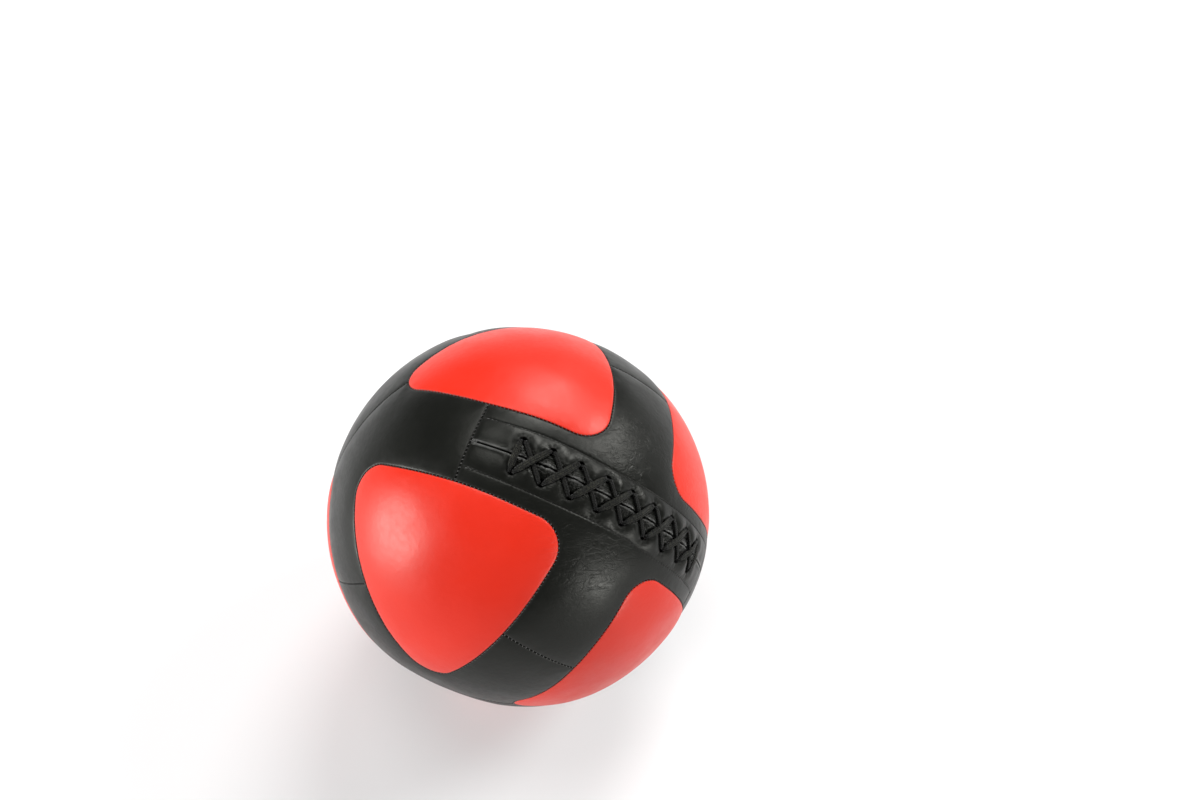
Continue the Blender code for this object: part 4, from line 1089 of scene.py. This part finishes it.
def leather_look(name, colour, dark, wear_and_highlight, crevice_shade, roughness, specular):
    """Coated leather: fine pebble grain, a mottled sheen and slight colour drift.

    Creases gather round the middle of the slit, where the lace pulls hardest, and
    close to the slit the leather is crumpled.  Sharp folds are painted paler, partly
    as wear and partly as a painted highlight, and are more polished, and the
    bottoms of seams, grooves and holes are darkened with painted shade.
    """
    look = Look(name)
    fold = look.fold()
    shade = look.blend(look.span(look.noise(*COLOUR_DRIFT), 0, 1, 0.35, 0.65), dark, colour)
    # Outward folds painted paler: partly wear, partly a painted highlight
    shade = look.blend(look.span(fold, 0, FOLD_PALENESS), shade, wear_and_highlight)
    # Inward folds darkened with painted shade
    shade = look.blend(look.span(fold, CREVICE_PAINTED_SHADE, 0, -1, 0), shade, crevice_shade)

    slit_middle = to_world(np.array((RADIUS, 0, 0)))
    from_middle = look.vector("DISTANCE", look.place, slit_middle)
    from_centre = look.vector("SUBTRACT", look.place, CENTRE, "Vector")
    from_slit = look.math("ABSOLUTE", look.vector("DOT_PRODUCT", from_centre, TURN[:, 2]))
    beside = look.math("MULTIPLY", look.span(from_slit, 1, 0, *CRUMPLE_ZONE),
                       look.span(from_middle, 1, 0, *CRUMPLE_LENGTH))

    mottle = look.noise(*MOTTLE)
    rough = look.math("ADD", look.span(mottle, -0.025, 0.025, 0.3, 0.7),
                      look.span(look.noise(*SMEARS), -0.04, 0.05, 0.3, 0.7))
    rough = look.math("SUBTRACT", rough, look.span(fold, -FOLD_POLISH * 2, FOLD_POLISH, -1, 1),
                      look.math("MULTIPLY", beside, CRUMPLE_POLISH))

    stretch = look.add("Mapping", {"Vector": look.place, "Scale": CREASE_STRETCH})
    wrinkle = look.noise(*WRINKLES, stretch.outputs["Vector"])
    line = look.math("ABSOLUTE", look.math("SUBTRACT", wrinkle, 0.5))
    line = look.span(line, 0, 0.2, 0, 0.06)
    pulled = look.math("MULTIPLY", look.span(from_middle, 1, 0, *CREASE_ZONE),
                       look.span(look.noise(*PATCHES), 0.25, 1, 0.40, 0.62))
    crease = look.math("ADD", look.math("MULTIPLY", wrinkle, 0.5), line)
    crease = look.math("MULTIPLY", crease, pulled)
    pebble = look.span(look.cells(PEBBLES, "SMOOTH_F1"), 1, 0, 0.1, 0.9)
    return look.finish(
        {"Base Color": shade, "Roughness": look.math("ADD", rough, roughness),
         "Specular IOR Level": specular, "Specular Tint": SHEEN_TINT},
        (look.math("MULTIPLY", look.noise(*CRUMPLES), beside), CRUMPLE_DEPTH),
        (crease, CREASE_DEPTH), (mottle, MOTTLE_DEPTH),
        (look.noise(*UNDULATION), UNDULATION_DEPTH),
        (look.math("ADD", pebble, look.noise(*GRAIN)), GRAIN_DEPTH))


def woven_look(name, colour, light, pitch, depth):
    """A flat weave of diagonal ribs that follow the piece's own UV map."""
    look = Look(name)
    uv = look.add("UVMap").outputs["UV"]
    parts = look.add("SeparateXYZ", {"Vector": uv}).outputs
    across, along = parts["X"], parts["Y"]
    turns = 2 * pi / pitch
    diagonal = look.math("ADD", along, look.math("ABSOLUTE", across))
    waves = (look.math("SINE", look.math("MULTIPLY", run, turns)) for run in (diagonal, across))
    weave = look.math("ADD", *(look.math("MULTIPLY", *wave) for wave in zip(waves, (0.6, 0.4))))
    height = look.math("ADD", weave, look.math("MULTIPLY", look.noise(*GRAIN), 1.2))
    fold = look.fold()
    # The weave's tone, darkened where the lace is gathered at holes and on tucked strands: painted
    # shade
    tone = look.math("MULTIPLY", look.span(weave, 0.25, 1, -1, 1),
                     look.span(look.noise(*LACE_SHADE), 0, 1, 0.42, 0.66),
                     look.span(fold, 0, 1, -0.75, 0))
    return look.finish(
        {"Base Color": look.blend(tone, colour, light), "Roughness": 0.88,
         "Specular IOR Level": 0.25, "Sheen Weight": LACE_SHEEN, "Sheen Roughness": 0.4},
        (height, depth))


def cloth_look(name, colour, light, pitch, roughness=0.9):
    """A plain weave or felt for what lies under the cover."""
    look = Look(name)
    wave = {"Scale": 1 / pitch / 3.2, "Distortion": 0.6, "Vector": look.place}
    weave = look.math("MULTIPLY", *(
        look.add("TexWave", wave, bands_direction=direction).outputs["Fac"]
        for direction in ("X", "Z")))
    fuzz = look.noise(*FUZZ)
    tone = look.math("ADD", weave, look.span(fuzz, -0.2, 0.3))
    return look.finish({"Base Color": look.blend(tone, colour, light), "Roughness": roughness},
                       (look.math("ADD", weave, fuzz), pitch / 3))


def sand_look(name, colour, light):
    look = Look(name)
    grains = look.cells(SAND_GRAINS, "F1")
    return look.finish({"Base Color": look.blend(grains, colour, light),
                        "Roughness": 0.55, "Metallic": 0.5}, (grains, SAND_DEPTH))


def thread_look(name, colour):
    look = Look(name)
    twist = look.noise(*THREAD_TWIST)
    light = tuple(value * 1.8 for value in colour)
    return look.finish({"Base Color": look.blend(twist, colour, light), "Roughness": 0.38},
                       (twist, TWIST_DEPTH))


# Leather: its colour, a darker drifting tone, the pale colour of folds (wear and painted
# highlight), the painted shade of crevices, roughness and specular level
RED = leather_look(
    "red_leather", (0.70, 0.024, 0.009), (0.65, 0.020, 0.007),
    (0.92, 0.24, 0.20), (0.05, 0.002, 0.001), 0.33, 0.31)
BLACK = leather_look(
    "black_leather", (0.0056, 0.0061, 0.0050), (0.0043, 0.0047, 0.0039),
    (0.15, 0.15, 0.145), (0.0008, 0.0008, 0.0007), 0.31, 0.21)
LACE_BLACK = woven_look(
    "lace_cord", (0.0020, 0.0021, 0.0014), (0.038, 0.038, 0.027), 0.0017, 0.00045)
WEBBING = cloth_look("webbing", (0.008, 0.008, 0.008), (0.02, 0.02, 0.02), 0.0008)
THREAD = thread_look("thread", (0.055, 0.055, 0.052))
TACK_THREAD = thread_look("tack_thread", (0.050, 0.050, 0.047))
FIBRE = cloth_look("fibre", (0.42, 0.40, 0.37), (0.62, 0.60, 0.56), 0.0015, 0.95)
CANVAS = cloth_look("canvas", (0.48, 0.43, 0.33), (0.66, 0.60, 0.48), 0.0009)
SAND = sand_look("iron_sand", (0.05, 0.045, 0.042), (0.16, 0.15, 0.14))


# The cover

def cover_panel(name, outline, face, material, slot, folding=seam_fold, **more):
    more.update(rows=EDGE_ROWS, folding=folding)
    mesh = layer(name, outline, face, panel_back, BACK_STEP, **more)
    piece = add_piece("cover_" + name, mesh, material, slot, name)


def build_cover():
    for octant in OCTANTS:
        name = "red_panel_" + octant_name(*octant)
        cover_panel(name, red_outline(*octant, SEAM_INSET), panel_face, RED, "red_leather")
    for name, *axes in elbow_panels():
        cover_panel("black_panel_" + name, elbow_outline(*axes), panel_face, BLACK, "black_leather")
    for side, name in ((1, "lace_panel_upper"), (-1, "lace_panel_lower")):
        along = np.arange(-SLIT_REACH, SLIT_REACH, STRIP_GRID_STEP)
        rows = [strip_point(along, side * (TOPSTITCH_OFFSET + row)) for row in TOPSTITCH_ROWS]
        cover_panel(name, slit_outline(side), slit_face, BLACK, "black_leather", slit_fold,
                    lines=np.vstack(rows), holes=hole_outlines(side))


def under_layer(prefix, name, outline, depth, wall, holes=()):
    """A plain layer of webbing at a depth under the full ball."""
    mesh = layer(name, outline, layer_face(depth), layer_face(depth + wall), GRID_STEP, holes)
    add_piece(prefix + name, mesh, WEBBING, "webbing", name)


def build_under_layers():
    """The holed facings behind the slit's edges, and the tongue."""
    half_length = SLIT_REACH - FACING_END_MARGIN
    for side, name in ((1, "lace_facing_upper"), (-1, "lace_facing_lower")):
        edges = side * SLIT_GAP / 2, side * (TOPSTITCH_OFFSET + FACING_MARGIN)
        outline = strip_outline(half_length, *edges)
        under_layer("holed_", name, outline, FACING_DEPTH, FACING_WALL, hole_outlines(side))
    half_length = SLIT_REACH - TONGUE_END_MARGIN
    outline = strip_outline(half_length, -TONGUE_WIDTH / 2, TONGUE_WIDTH / 2)
    under_layer("webbing_", "tongue", outline, TONGUE_DEPTH, TONGUE_WALL)


# Thread

def tube_faces(first, rings, sides):
    """Quads round a row of rings of points, and a cap at each of its ends."""
    faces = []
    for start in range(first, first + (rings - 1) * sides, sides):
        for j in range(sides):
            here, there = start + j, start + (j + 1) % sides
            faces.append((here, there, there + sides, here + sides))
    end = first + rings * sides
    return [*faces, range(first, first + sides), range(end - sides, end)]


def sew(name, spots, headings, radii, length, material, lean=0, bow=STITCH_RADIUS):
    """Short threads at directions on the ball, each turned a little from its heading."""
    places, faces = [], []
    turn = np.linspace(0, 2 * pi, THREAD_SIDES, endpoint=False)[:, None]
    for spot, heading, height in zip(spots, headings, radii):
        heading = heading * cos(lean) + np.cross(spot, heading) * sin(lean)
        ring = np.cross(spot, heading) * np.cos(turn) + spot * np.sin(turn)
        faces += tube_faces(len(places), len(THREAD_PROFILE), THREAD_SIDES)
        for share, girth in THREAD_PROFILE:
            middle = spot * (height - bow * share ** 2) + heading * share * length / 2
            places.extend(middle + ring * STITCH_RADIUS * girth)
    add_piece(name, new_mesh(name, places, faces), material, "lace_cord")


def build_threads():
    plain = RADIUS - sag(STITCHES) - PANEL_CROWN + unevenness(STITCHES) - STITCH_DEPTH
    radii = floored(STITCHES, plain, STITCH_RADIUS)
    across = np.cross(STITCHES, STITCH_HEADINGS)
    sew("seam_thread", STITCHES, across, radii, STITCH_LENGTH, THREAD, STITCH_LEAN, STITCH_BOW)

    reach = SLIT_REACH - TOPSTITCH_PITCH
    along = np.linspace(-reach, reach, TOPSTITCH_POINTS)
    lines = [strip_point(along, side * TOPSTITCH_OFFSET) for side in (1, -1)]
    spots, headings = stacked(spaced(line, False, TOPSTITCH_PITCH) for line in lines)
    radii = slit_face(spots) - TOPSTITCH_BED
    sew("topstitch_thread", spots, headings, radii, TOPSTITCH_LENGTH, THREAD)

    along = SLIT_REACH - STITCH_LENGTH - np.arange(TACK_COUNT) * TACK_PITCH
    along = np.concatenate([along, -along])
    spots = strip_point(along, 0)
    radii = RADIUS - sag(spots) + SEWN_LIP_RISE + STITCH_RADIUS / 2
    sew("end_tacks", spots, unit(strip_point(along, TACK_PITCH) - spots), radii, TACK_LENGTH,
        TACK_THREAD, bow=SEWN_LIP_RISE + STITCH_RADIUS)


# The lace

def taut(places, heights):
    """Radii of a line pulled tight over radii at places along a run."""
    turn = (places - places.mean()) / RADIUS
    x, z = heights * np.sin(turn), heights * np.cos(turn)
    kept = []
    for k in range(len(x)):
        while len(kept) > 1:
            a, b = kept[-2:]
            if (x[b] - x[a]) * (z[k] - z[a]) - (z[b] - z[a]) * (x[k] - x[a]) < 0:
                break
            kept.pop()
        kept.append(k)
    return np.hypot(x, np.interp(x, x[kept], z[kept]))


def lace_size(wide, gathered):
    """The lace's width and thickness where it is gathered by a share."""
    thickness = mix(LACE_THICKNESS, LACE_GATHERED_DEPTH, gathered ** 2)
    return mix(wide, LACE_GATHERED_WIDTH, gathered), thickness


def resting(start, end, width_line, width, thickness, crossing=None):
    """Places along a run of lace and the radii at which its middle rests there."""
    length = norm(end - start)
    shares = np.linspace(0, 1, round(length / LACE_STEP) + 1)
    sides = LACE_REST_SIDES * width / 2
    places = mix(start, end, shares[:, None])[:, None] + sides[None, :, None] * width_line
    heights = slit_face(strip_point(places[..., 0].ravel(), places[..., 1].ravel()))
    heights = heights.reshape(len(shares), -1).max(axis=1)
    if crossing is not None:
        middle = np.abs(shares - 0.5) * length < LACE_CROSSING
        heights[middle] = np.maximum(heights[middle], crossing)
    inner = np.minimum(shares, 1 - shares) * length > LACE_REST_MARGIN
    radii = taut(shares[inner] * length, heights[inner])
    radii = np.convolve(np.pad(radii, 2, mode="edge"), LACE_REST_WEIGHTS, mode="valid")
    return shares[inner], radii + LACE_REST_GAP + thickness / 2


def outside_stretch(start, end, wide, rolled_in=0, over=False):
    """Stations of lace over the leather, from one slot to another.

    A station is a place along and above the slit, a radius, the line along
    which the lace is wide, its width, its thickness and how far it is gathered.
    """
    start, end = np.array(start), np.array(end)
    run = unit(end - start)
    width_line = np.array((-run[1], run[0])) * np.sign(-run[1])
    length = norm(end - start)
    crossing = None
    if over:
        ends = (point * (1, -1) for point in (start, end))
        size = lace_size(LACE_TUCKED_WIDTH, LACE_TUCKED_ROLL)
        shares, radii = resting(*(np.array((point[0], other[1])) for point, other
                                  in zip((start, end), (end, start))),
                                width_line * (1, -1), *size)
        crossing = np.interp(0.5, shares, radii) + size[1] / 2
    shares, radii = resting(start, end, width_line, *lace_size(wide, rolled_in), crossing)
    ends = [bend * LACE_BEND / length for bend, *_ in BEND_SHARES]
    bends, drops, gatherings = zip(*BEND_SHARES, (WIDE_SHARE, 0, 0))
    stations = []
    for place in [*ends, *OUTSIDE_PLACE_SHARES, *(1 - share for share in ends[::-1])]:
        away = min(place, 1 - place) * length / LACE_BEND
        gathered = max(rolled_in, np.interp(away, bends, gatherings))
        radius = np.interp(place, shares, radii) - np.interp(away, bends, drops) * LACE_BEND
        size = lace_size(wide, gathered)
        stations.append((*mix(start, end, place), radius, width_line, *size, gathered))
    return stations


def cover_radius(place):
    """The full cover's radius at a place beside the slit."""
    return RADIUS - sag(strip_point(*place)[None])[0]


def hole_stretch(slot):
    """Stations of gathered lace through one hole, from outside to inside."""
    depths = COVER_DEPTH / 3, FACING_DEPTH + FACING_WALL
    size = LACE_GATHERED_WIDTH, LACE_GATHERED_DEPTH
    return [(*slot, cover_radius(slot) - depth, np.array((1, 0)), *size, 1.0) for depth in depths]


def under_stretch(start, end, depth, leaves_hole=True, meets_hole=True):
    """Stations of lace behind the facings, between two slots or from the knot."""
    start, end = np.array(start), np.array(end)
    length = norm(end - start)
    bends = [(away * LACE_BEND / length, drop * LACE_BEND, gathered)
             for away, drop, gathered in BEND_SHARES]
    near, far = (bends if bent else [(0, 0, 0)] for bent in (leaves_hole, meets_hole))
    far = [(1 - away, *row) for away, *row in far[::-1]]
    stations = []
    for place, drop, gathered in (*near, (0.5, 0, 0), *far):
        here = mix(start, end, place)
        size = lace_size(LACE_UNDER_WIDTH, gathered)
        radius = cover_radius(here) - depth + drop
        stations.append((*here, radius, np.array((1, 0)), *size, gathered))
    return stations


def lace_route():
    """All stations of the lace, from one end at the knot to the other."""
    last = PAIR_COUNT - 1
    bar, over, tucked = (LACE_WIDTH,), (LACE_WIDTH, 0, True), (LACE_TUCKED_WIDTH, LACE_TUCKED_ROLL)
    # Each time it shows: the slots where it comes up and goes down, how deep it lay
    # on the way there, and how it lies outside
    turns = [((last, 1, 1), (last, -1, 1), LOWER_BAR_DEPTH, bar)]
    for pair in range(last, 0, -1):
        turns.append(((pair, 1, -1), (pair - 1, -1, 1), UPPER_BAR_DEPTH, over))
    turns.append(((0, 1, -1), (0, -1, -1), UPPER_BAR_DEPTH, bar))
    for pair in range(last):
        turns.append(((pair, 1, 1), (pair + 1, -1, -1), LOWER_BAR_DEPTH, tucked))
    knot_face = LACED_REACH + KNOT_SETBACK - KNOT_LENGTH / 2 - LACE_GAP
    route, here = [], (knot_face, KNOT_WIDTH / 2)
    for up, down, depth, outside in turns:
        up, down = slot_place(*up), slot_place(*down)
        route += under_stretch(here, up, depth, leaves_hole=bool(route)) + hole_stretch(up)[::-1]
        route += outside_stretch(up, down, *outside) + hole_stretch(down)
        here = down
    inner_end = (here[0], -KNOT_WIDTH / 2)
    route += under_stretch(here, inner_end, LOWER_BAR_DEPTH, meets_hole=False)
    return route + under_stretch(inner_end, (knot_face, 0), LOWER_BAR_DEPTH, False, False)[1:]


def smooth_path(values, steps):
    """Values between stations on a Catmull-Rom curve, at a near even step."""
    rows, places = [], []
    padded = np.pad(values, ((1, 1), (0, 0)), mode="edge")
    for k, step in enumerate(steps):
        before, here, there, after = padded[k:k + 4]
        parts = max(1, round(step / LACE_STEP))
        for share in np.arange(parts) / parts:
            square, cube = share ** 2, share ** 3
            rows.append(0.5 * (2 * here + (there - before) * share
                               + (2 * before - 5 * here + 4 * there - after) * square
                               + (3 * here - before - 3 * there + after) * cube))
            places.append(k + share)
    return np.array([*rows, values[-1]]), np.array([*places, len(steps)])


def build_lace():
    """Sweep the flat lace along its route, with folds where it is gathered."""
    centres, besides, sizes = [], [], []
    for along, across, radius, width_line, *size in lace_route():
        spot, reach = strip_point(along, across), width_line * LACE_GATHERED_WIDTH
        centres.append(spot * radius)
        besides.append(unit(strip_point(along + reach[0], across + reach[1]) - spot))
        sizes.append(size)
    steps = norm(np.diff(centres, axis=0), axis=1)
    path, places = smooth_path(centres, steps)
    besides, sizes = (along_rows(places, np.arange(len(centres)), np.array(rows))
                      for rows in (besides, sizes))
    ahead = unit(np.gradient(path, axis=0))
    run = np.concatenate([[0], np.cumsum(norm(np.diff(path, axis=0), axis=1))])
    angles = np.linspace(0, 2 * pi, LACE_SIDES, endpoint=False)
    wide, thick = (np.sign(part) * np.abs(part) ** power for part, power
                   in zip((np.cos(angles), np.sin(angles)), LACE_SECTION_POWERS))
    waver = 1 + LACE_WAVER * lumps(LACE_WAVERS, run, 0, 0)
    twist = LACE_TWIST * lumps(LACE_TWISTS, run, 0, 0)
    rings = []
    for k, centre in enumerate(path):
        beside = unit(besides[k] - ahead[k] * (besides[k] @ ahead[k]))
        normal = np.cross(ahead[k], beside)
        width, thickness, gathered = sizes[k]
        turn = twist[k] * (1 - gathered)
        across = beside * cos(turn) + normal * sin(turn)
        normal = normal * cos(turn) - beside * sin(turn)
        fold = LACE_FOLD * gathered * thickness * np.cos(LACE_FOLDS * pi * wide)
        cup = LACE_CUP * thickness * (1 - gathered) * wide ** 2
        ring = centre + np.outer(wide * (width * waver[k]) / 2, across)
        ring += np.outer(thick * (thickness / 2 + fold * np.abs(thick) / 2) - cup, normal)
        rings.append(ring)
    faces = tube_faces(0, len(rings), LACE_SIDES)
    # Gathered and tucked lace is marked below 0, for painted shade
    folds = np.repeat(-sizes[:, 2], LACE_SIDES)
    mesh = new_mesh("woven_lace", np.vstack(rings), faces, folds)
    u = np.tile(wide, len(rings)) * np.repeat(sizes[:, 0], LACE_SIDES) / 2
    v = np.repeat(run, LACE_SIDES)
    uv = mesh.uv_layers.new(name="UVMap").data
    for loop in mesh.loops:
        uv[loop.index].uv = u[loop.vertex_index], v[loop.vertex_index]
    add_piece("woven_lace", mesh, LACE_BLACK, "lace_cord", "lace")


def dress_inner_nodes():
    """Finish the solids that stay, all inside the cover."""
    looks = {
        "fibre_fill": FIBRE, "fill_plug": FIBRE, "weight_bag": CANVAS,
        "iron_sand": SAND, "bag_tie": THREAD, "lace_knot": THREAD,
    }
    for name, material in looks.items():
        node = frame["nodes"][name]
        node.data.materials.clear()
        node.data.materials.append(material)


# The floor, the light and the camera

def build_stage():
    """A pale floor that rays see lifted to white, without lighting more than that."""
    mesh = bpy.data.meshes.new("floor")
    corners = [(x * FLOOR_REACH, y * FLOOR_REACH, -FLOOR_GAP)
               for x, y in ((-1, -1), (1, -1), (1, 1), (-1, 1))]
    mesh.from_pydata(corners, [], [(0, 1, 2, 3)])
    floor = add_object("floor", mesh)
    look = Look("floor")
    rays = look.add("LightPath").outputs
    seen = look.math("MAXIMUM", rays["Is Camera Ray"], rays["Is Glossy Ray"],
                     rays["Is Transmission Ray"])
    mesh.materials.append(look.finish({
        "Base Color": FLOOR_COLOUR, "Roughness": 0.8, "Specular IOR Level": 0.2,
        "Emission Color": WHITE, "Emission Strength": look.math("MULTIPLY", seen, FLOOR_LIFT)}))


def build_light():
    """Pale walls all round under a dimmer ceiling, and wide soft lights.

    The lights are far enough away to light the floor evenly.
    """
    look = Look("studio", bpy.data.worlds)
    bpy.context.scene.world = look.owner
    way = look.add("TexCoord").outputs["Generated"]
    height = look.add("SeparateXYZ", {"Vector": way}).outputs["Z"]
    light = look.span(height, WALL_LIGHT, CEILING_LIGHT, *WALL_TOP, interpolation_type="SMOOTHSTEP")
    for key, value in (("Strength", light), ("Color", WHITE)):
        look.give(look.tree.nodes["Background"].inputs[key], value)
    for name, azimuth, elevation, strength, width in SOFT_LIGHTS:
        light = bpy.data.lights.new(name, "SUN")
        light.energy = strength
        light.angle = radians(width)
        lamp = add_object(name, light)
        a, e = radians(azimuth), radians(elevation)
        out = Vector((sin(a) * cos(e), -cos(a) * cos(e), sin(e)))
        lamp.location = out * LIGHT_DISTANCE
        lamp.rotation_euler = out.to_track_quat("Z", "Y").to_euler()


def build_camera():
    lens = bpy.data.cameras.new("camera")
    lens.sensor_width = SENSOR_WIDTH
    lens.lens = SENSOR_WIDTH * FOCAL_PIXELS / PHOTO_WIDTH
    lens.clip_start, lens.clip_end = NEAREST_SEEN, FURTHEST_SEEN
    camera = add_object("camera", lens)
    camera.location = Vector(CENTRE) + CAMERA_FROM_BALL
    camera.rotation_euler = (pi / 2 - CAMERA_PITCH, 0, 0)
    bpy.context.scene.camera = camera


build_camera()
build_light()
build_stage()
build_cover()
build_under_layers()
build_threads()
build_lace()
dress_inner_nodes()

bpy.context.scene.view_settings.view_transform = "Standard"
